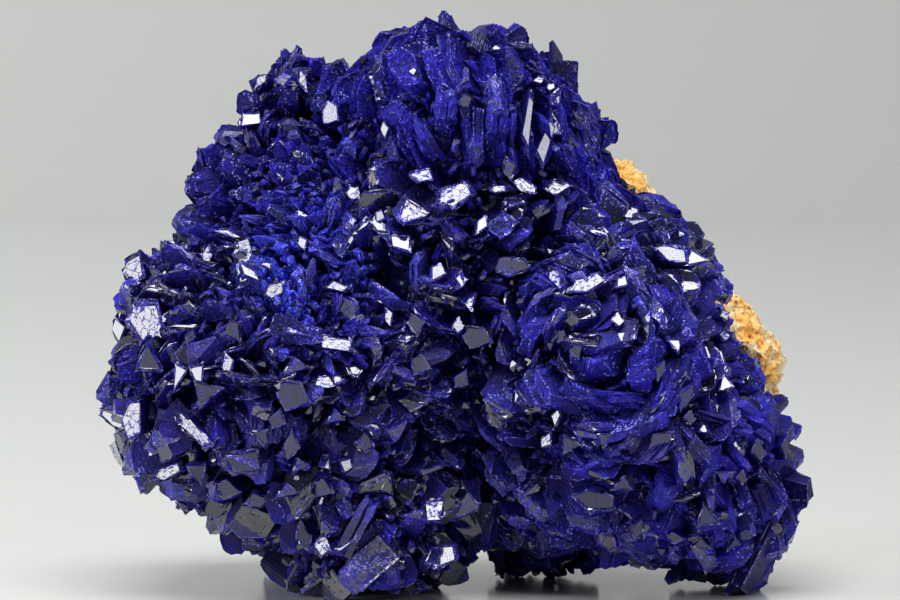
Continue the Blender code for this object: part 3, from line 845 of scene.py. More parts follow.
def surface_at(points):
    """The distance out of the whole cluster, its lobes melded together, and the normals."""
    gaps, outwards = distances(points)
    near = gaps.min(axis=1, keepdims=True)
    weights = np.exp(-(gaps - near) / MELD)
    total = weights.sum(axis=1, keepdims=True)
    normals = units((outwards * (weights / total)[:, :, None]).sum(axis=1))
    return near[:, 0] - MELD * np.log(total[:, 0]), normals


SETTLE_STEPS = 6


def settled(points, level):
    """Points moved straight in or out until they lie at the level from the cluster's surface."""
    for _ in range(SETTLE_STEPS):
        gap, normals = surface_at(points)
        points = points + normals * (level - gap)[:, None]
    return points, normals


def own_sites(points, own):
    """True for the points of a lobe that no other lobe has grown over."""
    gaps, _ = distances(points)
    gaps[:, list(LOBES).index(own)] = np.inf
    return gaps.min(axis=1) > BURIED


def rock_tree():
    """The rock's solid, as a tree that can be asked for its nearest point."""
    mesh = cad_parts[ROCK_NODE].data
    points = [vert.co.copy() for vert in mesh.vertices]
    return BVHTree.FromPolygons(points, [face.vertices[:] for face in mesh.polygons])


def outside_rock(points, tree, margin):
    """True for the points that lie further out of the rock than the margin."""
    free = []
    for point in points:
        at, normal = tree.find_nearest(Vector(point) * MM)[:2]
        free.append((Vector(point) * MM - at).dot(normal) > margin * MM)
    return np.array(free, bool)


AT_POLE = 0.2  # sine of the angle from a lobe's pole within which its grain has no direction
LAY_MOST, LAY_REACH = 0.95, 0.9  # the flattest that a crystal lies, and how far it then leans


def stances(lobe, normals, lay, swing, scatter):
    """The crystals' axes: along their width, across their broad faces, and out to their tip."""
    pole = np.array(Vector(lobe.pole).normalized())
    around = np.cross(pole, normals)
    at_pole = np.linalg.norm(around, axis=1) < AT_POLE
    around[at_pole] = (1.0, 0.0, 0.3)  # any direction does there
    around = units(around)
    meridian = units(np.cross(around, normals))
    away = -meridian * np.sign(np.einsum("ij,j->i", meridian, pole))[:, None]
    swing = np.radians(lobe.grain + swing)[:, None]
    along = meridian * np.cos(swing) + around * np.sin(swing)
    lay = np.clip(lay, 0.0, LAY_MOST)[:, None]
    up = normals * (1 - lay) + away * lay * LAY_REACH - pole * POLE_LEAN * (1 - lay)
    up = units(up + scatter)
    along = units(along - up * np.einsum("ij,ij->i", along, up)[:, None])
    return along, np.cross(up, along), up


# One crystal: its kind and pattern, the matrix that places it, and its looks.
Growth = namedtuple("Growth", "kind pattern place tone gloss polished cobalt shade grain")

# Bright powdery patches seen from the front, which end at a plane.
POWDER_ENDS = 2.0
POWDER_REACH = 1.5  # a patch has faded out at this share of its radius
COBALT_SPOTS = (  # across, up, radius and strength
    (-17.6, 33.2, 2.6, 1.0),
    (-15.2, 30.0, 2.2, 1.0),
    (-9.0, 34.4, 2.4, 0.45),
    (-14.0, 37.6, 3.0, 0.35),
)


def cobalt_at(points):
    """How powdery the azurite is at each point, from 0 to 1."""
    amount = np.zeros(len(points))
    for x, z, radius, strength in COBALT_SPOTS:
        away = np.hypot(points[:, 0] - x, points[:, 2] - z) / radius
        amount = np.maximum(amount, strength * np.clip(POWDER_REACH - away, 0.0, 1.0))
    return amount * (points[:, 1] < POWDER_ENDS)


def placed(kinds, points, axes, sizes, habit, rng):
    """The crystals as growths, each at its point, turned to its axes and scaled to its size."""
    tone, gloss = rng.random(len(points)), rng.random(len(points))
    chosen = rng.integers(0, len(kinds), len(points))
    picks = rng.integers(0, 1000, len(points))
    cobalt = cobalt_at(points)
    for i, point in enumerate(points):
        kind = kinds[chosen[i]]
        scale = [size[i] / nominal for size, nominal in zip(sizes, PATTERN_SIZE[kind])]
        turn = np.stack([axis[i] * share for axis, share in zip(axes, scale)], axis=1)
        place = np.concatenate([turn, point[:, None]], axis=1)
        number = picks[i] % MODELS[kind][1]
        looks = (tone[i], gloss[i], habit.polished, cobalt[i], habit.shade, habit.grain)
        yield Growth(kind, number, place, *looks)


def kept(points, tree):
    """True for the points that lie above the floor and out of the rock."""
    keep = points[:, 2] > CLEAR_OF_FLOOR
    keep[keep] = outside_rock(points[keep], tree, -INTO_ROCK)
    return keep


# Corners of a crystal that may stand out: how far along its width and below its tip, as shares.
CORNERS = ((-0.4, 0.1), (0.4, 0.1), (-0.45, 0.5), (0.45, 0.5), (0.0, 0.6))
DRAWN_IN = 0.6  # the share of such an excess by which the crystal is sunk


def overshoot(points, axes, sizes):
    """How far to sink a leaning crystal whose corners stand out beyond its tip."""
    along, _, up = axes
    tip = surface_at(points)[0]
    excess = np.zeros(len(points))
    for side, down in CORNERS:
        corner = points + along * (side * sizes[0])[:, None] - up * (down * sizes[2])[:, None]
        excess = np.maximum(excess, surface_at(corner)[0] - tip)
    return excess * DRAWN_IN


def grow_blades(name, lobe, habit, half, tree, rng, packing):
    """Stacks of large blades on one half of a lobe: its upper one, its lower one, or both (0)."""
    seeds, normals = sites(lobe, habit.spacing * packing, rng)
    free = own_sites(seeds, name)
    seeds, normals = seeds[free], normals[free]
    number = len(seeds)
    swing = rng.normal(0.0, habit.swing, number)
    scatter = rng.normal(0.0, TILT_SCATTER, normals.shape)
    lay = habit.lay + rng.normal(0.0, LAY_SCATTER, number)
    along, across, _ = stances(lobe, normals, lay, swing, scatter)
    count = max(1, round(habit.spacing / habit.pitch))
    places, stack_of = [], []
    for row in range(count):
        offset = (row - (count - 1) / 2) * habit.pitch + rng.normal(0.0, PITCH_SCATTER, number)
        shift = rng.normal(0.0, SHIFT_SCATTER, number)
        places.append(seeds + across * offset[:, None] + along * shift[:, None])
        stack_of.append(np.arange(number))
    stack_of = np.concatenate(stack_of)
    total = len(stack_of)
    points, normals = settled(np.concatenate(places), rng.uniform(*BLADE_LEVEL, total))
    own = rng.normal(0.0, OWN_TILT, normals.shape)
    lay = lay[stack_of] + rng.normal(0.0, OWN_LAY, total)
    swing = swing[stack_of] + rng.normal(0.0, OWN_SWING, total)
    axes = stances(lobe, normals, lay, swing, scatter[stack_of] + own)
    sizes = [rng.uniform(*span, total) for span in (habit.width, habit.thickness, BLADE_HEIGHT)]
    points = points - normals * overshoot(points, axes, sizes)[:, None]
    keep = kept(points, tree)
    if half:
        keep &= (points[:, 2] - lobe.centre[2]) * half > 0
    axes, sizes = [axis[keep] for axis in axes], [size[keep] for size in sizes]
    return placed(habit.kinds, points[keep], axes, sizes, habit, rng)


def grow_tier(name, lobe, tier, tree, rng, packing):
    """One tier of the smaller crystals on one lobe."""
    habit = HABITS[lobe.habit]
    points, normals = sites(lobe, tier.spacing * packing, rng)
    free = own_sites(points, name) & (rng.random(len(points)) < getattr(habit, tier.share))
    points = points[free]
    total = len(points)
    points, normals = settled(points, rng.uniform(*tier.level, total))
    swing = rng.normal(0.0, TIER_SWING, total)
    lay = 0.5 * habit.lay + rng.normal(0.0, TIER_LAY, total)
    axes = stances(lobe, normals, lay, swing, rng.normal(0.0, TIER_TILT, normals.shape))
    sizes = [rng.uniform(*span, total) for span in (tier.width, tier.thickness, tier.height)]
    keep = kept(points, tree)
    axes, sizes = [axis[keep] for axis in axes], [size[keep] for size in sizes]
    return placed(tier.kinds, points[keep], axes, sizes, habit, rng)


# A point goes from in front of the cluster along its line of sight, by a share of its distance
# from the surface and a few millimetres at most, and no further back than where the front ends.
MARCH_FROM, MARCH_STEPS, MARCH_SHARE, MARCH_MOST, FRONT_ENDS = 40.0, 60, 0.7, 2.0, 6.0


def in_view(x, z, level):
    """The points at a level from the cluster's surface that lie at (x, z) in the front view."""
    rise = np.array((0.0, math.sin(VIEW_RISE), math.cos(VIEW_RISE)))
    through = MIDDLE + np.outer(x - MIDDLE[0], (1.0, 0.0, 0.0)) + np.outer(z - TABLE_ZERO, rise)
    rays = units(through - EYE)
    points = EYE + rays * (VIEW_DISTANCE - MARCH_FROM)
    for _ in range(MARCH_STEPS):
        gap = surface_at(points)[0] - level
        points = points + rays * np.minimum(MARCH_SHARE * gap, MARCH_MOST)[:, None]
        points[:, 1] = np.minimum(points[:, 1], FRONT_ENDS)
    return settled(points, level)


# A finish is a tone, a gloss, a share of polished sides, a shade and a grain.
FINISHES = {
    "polished": (0.4, 0.03, 0.15, 1.0, 0.2),
    "speckled": (0.73, 0.105, 0.0, 0.7, 0.2),
    "crackled": (0.93, 0.105, 0.0, 0.5, 0.2),
    "frosted": (0.4, 0.08, 0.0, 1.0, 0.3),
}


# The places on such a face that stay in sight: shares of its width and height from its middle.
SEEN_AT = ((0, 0), (0.28, 0.2), (-0.28, 0.2), (0.28, -0.2), (-0.28, -0.2))


SHOWN_LEAST = 0.5  # a slanting face is widened by no more than this share calls for
ROOT_LEAST = 0.6  # a flat face goes down by this much more than its width


def grow_faces(rng):
    """The crystals placed one by one, and the points of each that must stay in sight."""
    spots = np.array([(face.x, face.z) for face in FACES])
    points, normals = in_view(spots[:, 0], spots[:, 1], FACE_LEVEL)
    grown, sights = [], []
    for face, point, normal in zip(FACES, points, normals):
        point = Vector(point)
        view = (Vector(EYE) - point).normalized()
        lamp = Vector(MIRRORED.get(face.mirrors, point + Vector(normal))) - point
        up = (lamp.normalized() + view).normalized()
        turn = math.radians(face.turn)
        along = Vector((math.cos(turn), 0.0, math.sin(turn)))
        along = (along - up * along.dot(up)).normalized()
        across = up.cross(along)
        shows = [max(SHOWN_LEAST, axis.cross(view).length) for axis in (along, across)]
        flat_depth = min(FACE_DEPTH, ROOT_LEAST + max(face.wide, face.tall))
        deep = BLADE_DEPTH if face.mirrors == "out" else flat_depth
        size = (face.wide / shows[0], face.tall / shows[1], deep)
        scale = [length / nominal for length, nominal in zip(size, PATTERN_SIZE[face.kind])]
        for side in SEEN_AT:
            sight = point + along * (side[0] * face.wide) + across * (side[1] * face.tall)
            sights.append((np.array(EYE), np.array(sight)))
        if face.mirrors != "out":
            sights.append((np.array(point + lamp), np.array(point)))
        out = up if face.mirrors == "out" else (view + Vector(normal)).normalized()
        place = np.array([along * scale[0], across * scale[1], out * scale[2], point]).T
        tone, gloss, polished, shade, grain = FINISHES[face.finish]
        number = int(rng.integers(MODELS[face.kind][1]))
        grown.append(Growth(face.kind, number, place, tone, gloss, polished, 0.0, shade, grain))
    return grown, sights


def rock_sights(tree):
    """Lines of sight from the front to the places where the rock shows."""
    for x, z in ROCK_SHOWS:
        through = Vector((x, 0.0, z + MIDDLE[2] - TABLE_ZERO))
        at = tree.ray_cast(Vector(EYE) * MM, (through - Vector(EYE)).normalized())[0]
        if at is not None:
            yield np.array(EYE), np.array(at) / MM


BATCH = 500  # crystals tested at a time
BLOCKING = (0.45, 0.45)  # how far a crystal blocks the view, as shares of its width and thickness
SHORT_OF = 0.998  # a line of sight ends this share of the way to its point


def in_sight(growths, sights):
    """Leaves out the growths that stand in the way of a line of sight."""
    kept_ones = []
    starts, ends = (np.array(column) for column in zip(*sights))
    for first in range(0, len(growths), BATCH):
        batch = growths[first : first + BATCH]
        places = np.array([growth.place for growth in batch])
        back = np.linalg.inv(places[:, :, :3])
        begin = np.einsum("nij,nrj->nri", back, starts[None] - places[:, None, :, 3])
        step = np.einsum("nij,rj->nri", back, (ends - starts) * SHORT_OF)
        size = np.array([PATTERN_SIZE[growth.kind] for growth in batch])[:, None]
        high, low = size * (*BLOCKING, 0.0), -size * (*BLOCKING, 1.0)
        with np.errstate(divide="ignore"):
            one, two = (low - begin) / step, (high - begin) / step
        enters = np.minimum(one, two).max(axis=2)
        leaves = np.maximum(one, two).min(axis=2)
        hit = (enters < leaves) & (leaves > 0.0) & (enters < 1.0)
        kept_ones += [growth for growth, blocks in zip(batch, hit.any(axis=1)) if not blocks]
    return kept_ones


FROSTED, POLISHED, SATIN = 0, 1, 2  # the material slots of every azurite piece
VELVET_REGIONS = ("peak", "crown")  # where frosted faces are duller than elsewhere
SATIN_SHARE = {BROAD: 0.03, TIP: 0.24, SIDE: 0.14}
UV_SCATTER = (37.0, 53.0)  # keeps the same mark off every copy of a crystal


def polished_shares(polished):
    """The shares of broad faces, tips and sides that are polished, from a habit's share."""
    return {BROAD: polished, TIP: np.minimum(0.1 + 2.0 * polished, 0.7), SIDE: polished * 0.6}


def joined(name, growths, materials):
    """One mesh object of all the crystals, each with its own copy of its pattern's mesh."""
    batches = {}
    for growth in growths:
        batches.setdefault((growth.kind, growth.pattern), []).append(growth)
    points, triangles, surface, uv, finish, grown, start = [], [], [], [], [], [], 0
    for (kind, number), batch in batches.items():
        pattern = patterns_of(kind)[number]
        places = np.array([growth.place for growth in batch])
        tone, gloss, polished, cobalt, shade, grain = (
            np.array([getattr(growth, field) for growth in batch])
            for field in ("tone", "gloss", "polished", "cobalt", "shade", "grain")
        )
        moved = np.einsum("nij,vj->nvi", places[:, :, :3], pattern.points)
        moved += places[:, None, :, 3]
        size = np.linalg.norm(places[:, :, :3], axis=1)
        shape = (len(batch), len(pattern.edge))
        firsts = start + np.arange(len(batch)) * len(pattern.points)
        points.append(moved.reshape(-1, 3))
        triangles.append((pattern.triangles[None] + firsts[:, None, None]).reshape(-1, 3))
        share = polished_shares(polished)
        chosen = np.full((len(batch), len(pattern.parts)), FROSTED)
        for part, limit in share.items():
            drawn = (gloss * (7.0 + 3.0 * part)) % 1.0  # a number of its own for each part
            here = (pattern.parts == part)[None]
            chosen[(drawn < limit + SATIN_SHARE[part])[:, None] & here] = SATIN
            chosen[(drawn < limit)[:, None] & here] = POLISHED
        surface.append(chosen.reshape(-1))
        scale = np.stack([size[:, 0], size[:, 2]], axis=1)
        shift = tone[:, None] * UV_SCATTER
        uv.append((pattern.uv[None] * scale[:, None] + shift[:, None]).reshape(-1, 2))
        tones = (tone[:, None] + PART_TONE[pattern.parts][None].repeat(3, axis=1)) % 1.0
        values = (pattern.edge[None], tones, cobalt[:, None])
        spread = [np.broadcast_to(value, shape) for value in values]
        finish.append(np.stack(spread, axis=2).reshape(-1, 3))
        values = (pattern.depth[None], shade[:, None], grain[:, None])
        spread = [np.broadcast_to(value, shape) for value in values]
        grown.append(np.stack(spread, axis=2).reshape(-1, 3))
        start += len(batch) * len(pattern.points)
    points = np.concatenate(points) * MM
    points[:, 2] = np.maximum(points[:, 2], 0.0)
    arrays = [np.concatenate(part) for part in (triangles, surface, uv, finish, grown)]
    return mesh_object(name, points, *arrays, materials)


def mesh_object(name, points, triangles, surface, uv, finish, grown, materials):
    """A flat-shaded object from arrays, with what its materials read at every corner: its edge,
    tone and powder as "finish", and its depth, shade and grain as "growth"."""
    mesh = bpy.data.meshes.new(name)
    mesh.vertices.add(len(points))
    mesh.vertices.foreach_set("co", points.astype(np.float32).ravel())
    mesh.loops.add(triangles.size)
    mesh.loops.foreach_set("vertex_index", triangles.astype(np.int32).ravel())
    mesh.polygons.add(len(triangles))
    mesh.polygons.foreach_set("loop_start", np.arange(0, triangles.size, 3, dtype=np.int32))
    for material in materials:
        mesh.materials.append(material)
    mesh.polygons.foreach_set("material_index", surface.astype(np.int32))
    layer = mesh.uv_layers.new(name="crystal_mm")
    layer.data.foreach_set("uv", uv.astype(np.float32).ravel())
    for label, values in (("finish", finish), ("growth", grown)):
        mesh.attributes.new(label, "FLOAT_VECTOR", "CORNER")
        mesh.attributes[label].data.foreach_set("vector", values.astype(np.float32).ravel())
    mesh.update(calc_edges=True)
    mesh.shade_flat()
    obj = bpy.data.objects.new(name, mesh)
    bpy.context.scene.collection.objects.link(obj)
    return obj


def as_azurite(obj):
    """Puts a piece on its body, in place of the azurite's solid."""
    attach(obj, "root")
    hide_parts(AZURITE_NODE)


# ------------------------------------------------------------------ materials


def add(tree, kind, links=None, **settings):
    """A node with its settings, and its inputs set to values or linked to sockets."""
    made = tree.nodes.new(kind)
    for name, value in settings.items():
        setattr(made, name, value)
    return feed(tree, made, links or {})


def feed(tree, made, links):
    """Sets a node's inputs to values, or links them to sockets."""
    for key, value in links.items():
        if isinstance(value, bpy.types.NodeSocket):
            tree.links.new(value, made.inputs[key])
        else:
            made.inputs[key].default_value = value
    return made


def noise(tree, vector, scale, detail, **more):
    """A Noise Texture node."""
    links = {"Vector": vector, "Scale": scale, "Detail": detail, **more}
    return add(tree, "ShaderNodeTexNoise", links)


def cells(tree, vector, scale, **settings):
    """A Voronoi Texture node."""
    return add(tree, "ShaderNodeTexVoronoi", {"Vector": vector, "Scale": scale}, **settings)


def first_of(tree, vector):
    """The first number of a vector or a colour."""
    return add(tree, "ShaderNodeSeparateXYZ", {0: vector}).outputs[0]


def maths(tree, operation, *values, clamp=False):
    """The result of a Math node."""
    links = dict(enumerate(values))
    return add(tree, "ShaderNodeMath", links, operation=operation, use_clamp=clamp).outputs[0]


def vectors(tree, operation, *values):
    """The result of a Vector Math node."""
    links = dict(enumerate(values))
    return add(tree, "ShaderNodeVectorMath", links, operation=operation).outputs[0]


def blend_colour(tree, factor, first, second):
    """The first colour where the factor is 0, and the second where it is 1."""
    links = {0: factor, 6: first, 7: second}
    return add(tree, "ShaderNodeMix", links, data_type="RGBA").outputs[2]


def blend_value(tree, factor, first, second):
    """The first value where the factor is 0, and the second where it is 1."""
    links = {0: factor, 2: first, 3: second}
    return add(tree, "ShaderNodeMix", links, data_type="FLOAT").outputs[0]


def ramp(tree, value, low, high, bottom=0.0, top=1.0):
    """From bottom to top while the value goes from low to high, and held beyond."""
    links = {0: value, 1: low, 2: high, 3: bottom, 4: top}
    return add(tree, "ShaderNodeMapRange", links).outputs[0]


def group(name, inputs, outputs):
    """An empty node group with its sockets, its input and its output node."""
    tree = bpy.data.node_groups.new(name, "ShaderNodeTree")
    for label, kind, default in inputs:
        socket = tree.interface.new_socket(label, in_out="INPUT", socket_type=kind)
        if default is not None:
            socket.default_value = default
    for label, kind in outputs:
        tree.interface.new_socket(label, in_out="OUTPUT", socket_type=kind)
    return tree, tree.nodes.new("NodeGroupInput").outputs, tree.nodes.new("NodeGroupOutput").inputs


def use_group(tree, name, links):
    """The outputs of a node group placed in a material."""
    made = tree.nodes.new("ShaderNodeGroup")
    made.node_tree = bpy.data.node_groups[name]
    return feed(tree, made, links).outputs


FLOAT, VECTOR = "NodeSocketFloat", "NodeSocketVector"


def build_frost():
    """Where a frosted face is dull rather than clear: in streaks and patches."""
    inputs = [("Vector", VECTOR, None), ("Tone", FLOAT, 0.5)]
    tree, given, put = group("Frost", inputs, [("Mask", FLOAT)])
    stretched = vectors(tree, "MULTIPLY", given["Vector"], (1.0, 0.35, 1.0))
    patches = noise(tree, stretched, 0.9, 6.0)
    level = maths(tree, "MULTIPLY_ADD", given["Tone"], 0.34, 0.30)
    spread = maths(tree, "SUBTRACT", patches.outputs[0], level)
    streaks = maths(tree, "MULTIPLY_ADD", spread, 3.0, 0.5, clamp=True)
    tree.links.new(maths(tree, "MULTIPLY_ADD", streaks, 0.65, 0.35), put["Mask"])


SPECKLED_ABOVE, CRACKLED_ABOVE = 0.66, 0.80  # tones


def build_polish():
    """Where a polished face is whole: not on its ragged rim, nor along its cracks and pits."""
    inputs = [("Vector", VECTOR, None), ("Edge", FLOAT, 0.0), ("Tone", FLOAT, 0.5)]
    tree, given, put = group("Polish", inputs, [("Mask", FLOAT)])
    uneven = noise(tree, given["Vector"], 2.4, 6.0)
    eaten = maths(tree, "MULTIPLY_ADD", uneven.outputs[0], 3.6, -1.8)
    speckled = maths(tree, "GREATER_THAN", given["Tone"], SPECKLED_ABOVE)
    wide = noise(tree, given["Vector"], 0.9, 7.0).outputs[0]
    torn = maths(tree, "MULTIPLY", maths(tree, "MULTIPLY_ADD", wide, 3.6, -1.8), speckled)
    eaten = maths(tree, "ADD", eaten, torn)
    rest = maths(tree, "SUBTRACT", 0.85, maths(tree, "ADD", given["Edge"], eaten))
    whole = maths(tree, "MULTIPLY", rest, 8.0, clamp=True)
    warp = vectors(tree, "MULTIPLY_ADD", uneven.outputs["Color"], (1.1, 1.1, 0.0), given["Vector"])
    warp = vectors(tree, "MULTIPLY", warp, (1.0, 0.6, 1.0))
    cracks = cells(tree, warp, 1.4, feature="DISTANCE_TO_EDGE").outputs["Distance"]
    pits = noise(tree, given["Vector"], 5.5, 4.0).outputs[0]
    plates = maths(tree, "MULTIPLY", ramp(tree, cracks, 0.02, 0.07), ramp(tree, pits, 0.33, 0.40))
    dots = ramp(tree, noise(tree, given["Vector"], 8.0, 2.0).outputs[0], 0.38, 0.46)
    crackled = maths(tree, "GREATER_THAN", given["Tone"], CRACKLED_ABOVE)
    texture = blend_value(tree, crackled, dots, plates)
    mask = maths(tree, "MULTIPLY", whole, blend_value(tree, speckled, 1.0, texture), clamp=True)
    tree.links.new(mask, put["Mask"])


def build_relief():
    """Fine growth lines along a crystal, low terraces and steps, as a height."""
    tree, given, put = group("Relief", [("Vector", VECTOR, None)], [("Height", FLOAT)])
    lines = vectors(tree, "MULTIPLY", given["Vector"], (1.0, 0.09, 1.0))
    fine = noise(tree, lines, 7.0, 4.0)
    slow = vectors(tree, "MULTIPLY", given["Vector"], (1.0, 0.5, 1.0))
    swell = noise(tree, slow, 0.9, 4.0)
    terraces = maths(tree, "FLOOR", maths(tree, "MULTIPLY", swell.outputs[0], 11.0))
    crumbs = cells(tree, given["Vector"], 4.0)
    height = maths(tree, "MULTIPLY_ADD", terraces, 0.25, fine.outputs[0])
    height = maths(tree, "MULTIPLY_ADD", crumbs.outputs["Distance"], 0.7, height)
    tree.links.new(height, put["Height"])


def build_grain():
    """Light and dark specks and pits of a frosted surface, as a factor around 1."""
    tree, given, put = group("Grain", [("Vector", VECTOR, None)], [("Value", FLOAT)])
    level = first_of(tree, cells(tree, given["Vector"], 5.0).outputs["Color"])
    cloud = ramp(tree, noise(tree, given["Vector"], 2.2, 6.0).outputs[0], 0.36, 0.60)
    speck = maths(tree, "MULTIPLY_ADD", maths(tree, "POWER", level, 2.0), 1.6, 0.35)
    shade = maths(tree, "MULTIPLY_ADD", cloud, 0.5, 0.6)
    tree.links.new(maths(tree, "MULTIPLY", speck, shade), put["Value"])


def build_streaks():
    """Brushed lines along a crystal, as a factor around 1."""
    tree, given, put = group("Streaks", [("Vector", VECTOR, None)], [("Value", FLOAT)])
    lines = vectors(tree, "MULTIPLY", given["Vector"], (1.0, 0.14, 1.0))
    brushed = noise(tree, lines, 3.2, 6.0, Roughness=0.65).outputs[0]
    tree.links.new(ramp(tree, brushed, 0.34, 0.66, bottom=0.35, top=1.5), put["Value"])


def build_sparkle():
    """A normal that differs from one tiny crystal face to the next."""
    inputs = [
        ("Vector", VECTOR, None),
        ("Grains", FLOAT, 4.0),
        ("Tilt", FLOAT, 0.3),
        ("Normal", VECTOR, None),
    ]
    tree, given, put = group("Sparkle", inputs, [("Normal", VECTOR)])
    grains = cells(tree, given["Vector"], given["Grains"])
    centred = vectors(tree, "SUBTRACT", grains.outputs["Color"], (0.5, 0.5, 0.5))
    tilt = add(tree, "ShaderNodeVectorMath", {0: centred, 3: given["Tilt"]}, operation="SCALE")
    leaning = vectors(tree, "ADD", given["Normal"], tilt.outputs[0])
    tree.links.new(vectors(tree, "NORMALIZE", leaning), put["Normal"])


def new_material(name, roughness, ior):
    """A material with its node tree and its shader."""
    made = bpy.data.materials.new(name)
    made.use_nodes = True
    shader = made.node_tree.nodes["Principled BSDF"]
    shader.inputs["Roughness"].default_value = roughness
    shader.inputs["IOR"].default_value = ior
    return made, made.node_tree, shader


def opaque(shade):
    """A colour as a socket takes it."""
    return (*shade, 1.0)


def in_mm(tree):
    """A point of the object, in millimetres."""
    place = add(tree, "ShaderNodeTexCoord").outputs["Object"]
    return vectors(tree, "MULTIPLY", place, (1 / MM, 1 / MM, 1 / MM))


AZURITE_IOR = 1.7
STRIAE_HEIGHT = 0.11 * MM
ROCK_GRAIN_HEIGHT = 0.25 * MM


def attribute(tree, name):
    """The three numbers that a crystal's corners carry under the name."""
    given = add(tree, "ShaderNodeAttribute", attribute_name=name).outputs["Vector"]
    return add(tree, "ShaderNodeSeparateXYZ", {0: given}).outputs


def azurite_material(name):
    """Azurite: azure and dull where it is frosted, dark and clear where it is polished, and
    brighter along the rims, where light passes through."""
    if f"azurite_{name}" in bpy.data.materials:
        return bpy.data.materials[f"azurite_{name}"]
    coat = COATS[name]
    colours = bpy.context.scene.azurite
    made, tree, shader = new_material(f"azurite_{name}", coat.roughness, coat.ior)
    shader.inputs["Specular Tint"].default_value = opaque(coat.tint)
    uv = add(tree, "ShaderNodeUVMap", uv_map="crystal_mm").outputs[0]
    edge, tone, powder = attribute(tree, "finish")
    depth, lightness, grainy = attribute(tree, "growth")
    if coat.clear:
        clear = use_group(tree, "Polish", {"Vector": uv, "Edge": edge, "Tone": tone})["Mask"]
        shader.inputs["Coat Roughness"].default_value = coat.roughness
        shader.inputs["Coat IOR"].default_value = AZURITE_IOR
        tree.links.new(clear, shader.inputs["Coat Weight"])
        frost = maths(tree, "SUBTRACT", 1.0, clear)
    else:
        frost = use_group(tree, "Frost", {"Vector": uv, "Tone": tone})["Mask"]
    height = use_group(tree, "Relief", {"Vector": uv})["Height"]
    height = maths(tree, "MULTIPLY", height, maths(tree, "MULTIPLY_ADD", grainy, 1.6, 0.8))

    face = blend_colour(tree, frost, opaque(colours.deep), opaque(colours.blue))
    wear_and_glint = noise(tree, uv, 3.0, 5.0).outputs[0]
    rim_line = maths(tree, "POWER", edge, 3.0)
    line = maths(tree, "MULTIPLY", rim_line, ramp(tree, wear_and_glint, 0.44, 0.80))
    face = blend_colour(tree, line, face, opaque(colours.edge))
    # Painted glints: pale specks along the rims and on grainy faces stand in for light caught by
    # tiny facets.
    bits = first_of(tree, cells(tree, uv, 6.5).outputs["Color"])
    chance = maths(tree, "MULTIPLY_ADD", rim_line, 0.38, bits)
    chance = maths(tree, "MULTIPLY_ADD", grainy, 0.06, chance)
    specks = ramp(tree, chance, 1.0, 1.2)
    dusted = maths(tree, "MULTIPLY", powder, ramp(tree, wear_and_glint, 0.42, 0.60), clamp=True)
    face = blend_colour(tree, dusted, face, opaque(colours.cobalt))
    shade = add(tree, "ShaderNodeHueSaturation", {"Color": face})
    grain = use_group(tree, "Grain", {"Vector": uv})["Value"]
    streaks = use_group(tree, "Streaks", {"Vector": uv})["Value"]
    grain = blend_value(tree, grainy, streaks, grain)
    value = maths(tree, "MULTIPLY", maths(tree, "MULTIPLY_ADD", tone, 1.1, 0.5), grain)
    # Painted shade: the colour is lighter at a crystal's tip and darker down towards its root,
    # where the blades crowd together; it is also scaled by the habit's shade, partly painted shade.
    gap = ramp(tree, depth, 0.0, 0.58, bottom=1.3, top=0.3)
    value = maths(tree, "MULTIPLY", value, maths(tree, "MULTIPLY", gap, lightness))
    tree.links.new(value, shade.inputs["Value"])
    # The pale specks of painted glints go over the colour.
    face = blend_colour(tree, specks, shade.outputs[0], opaque(colours.wear_and_glint))
    tree.links.new(face, shader.inputs["Base Color"])

    gloss = maths(tree, "MULTIPLY_ADD", frost, 0.3, coat.roughness)
    gloss = maths(tree, "MULTIPLY_ADD", dusted, 0.3, gloss)
    tree.links.new(gloss, shader.inputs["Roughness"])

    uneven = maths(tree, "MULTIPLY_ADD", frost, 0.85, 0.03)
    links = {"Strength": uneven, "Distance": STRIAE_HEIGHT, "Height": height}
    bump = add(tree, "ShaderNodeBump", links).outputs[0]
    lean = maths(tree, "MULTIPLY", frost, maths(tree, "MULTIPLY_ADD", grainy, coat.lean, 0.05))
    links = {"Vector": uv, "Grains": 4.5, "Tilt": lean, "Normal": bump}
    tree.links.new(use_group(tree, "Sparkle", links)["Normal"], shader.inputs["Normal"])
    return made


# A coat is whether the face has a clear one, the IOR under it, its roughness, the tint of what it
# mirrors, and how far the grains of a grainy face lean.
Coat = namedtuple("Coat", "clear ior roughness tint lean")
BLUE_GLOSS = (0.34, 0.33, 0.88)
COATS = {
    "frosted": Coat(False, 1.5, 0.24, BLUE_GLOSS, 0.8),
    "velvet": Coat(False, 1.3, 0.24, BLUE_GLOSS, 0.8),
    "satin": Coat(False, 1.6, 0.16, (0.95, 0.96, 1.0), 0.35),
    "polished": Coat(True, 1.42, 0.06, (1.0, 1.0, 1.0), 0.8),
}


def core_material():
    """The dark, finely crystalline azurite between the blades."""
    colours = bpy.context.scene.azurite
    made, tree, shader = new_material("azurite_core", 0.35, 1.4)
    place = in_mm(tree)
    frost = use_group(tree, "Frost", {"Vector": place, "Tone": 0.9})["Mask"]
    face = blend_colour(tree, frost, opaque(colours.deep), opaque(colours.blue))
    tree.links.new(face, shader.inputs["Base Color"])
    normal = add(tree, "ShaderNodeNewGeometry").outputs["Normal"]
    links = {"Vector": place, "Grains": 2.6, "Tilt": 1.1, "Normal": normal}
    tree.links.new(use_group(tree, "Sparkle", links)["Normal"], shader.inputs["Normal"])
    return made


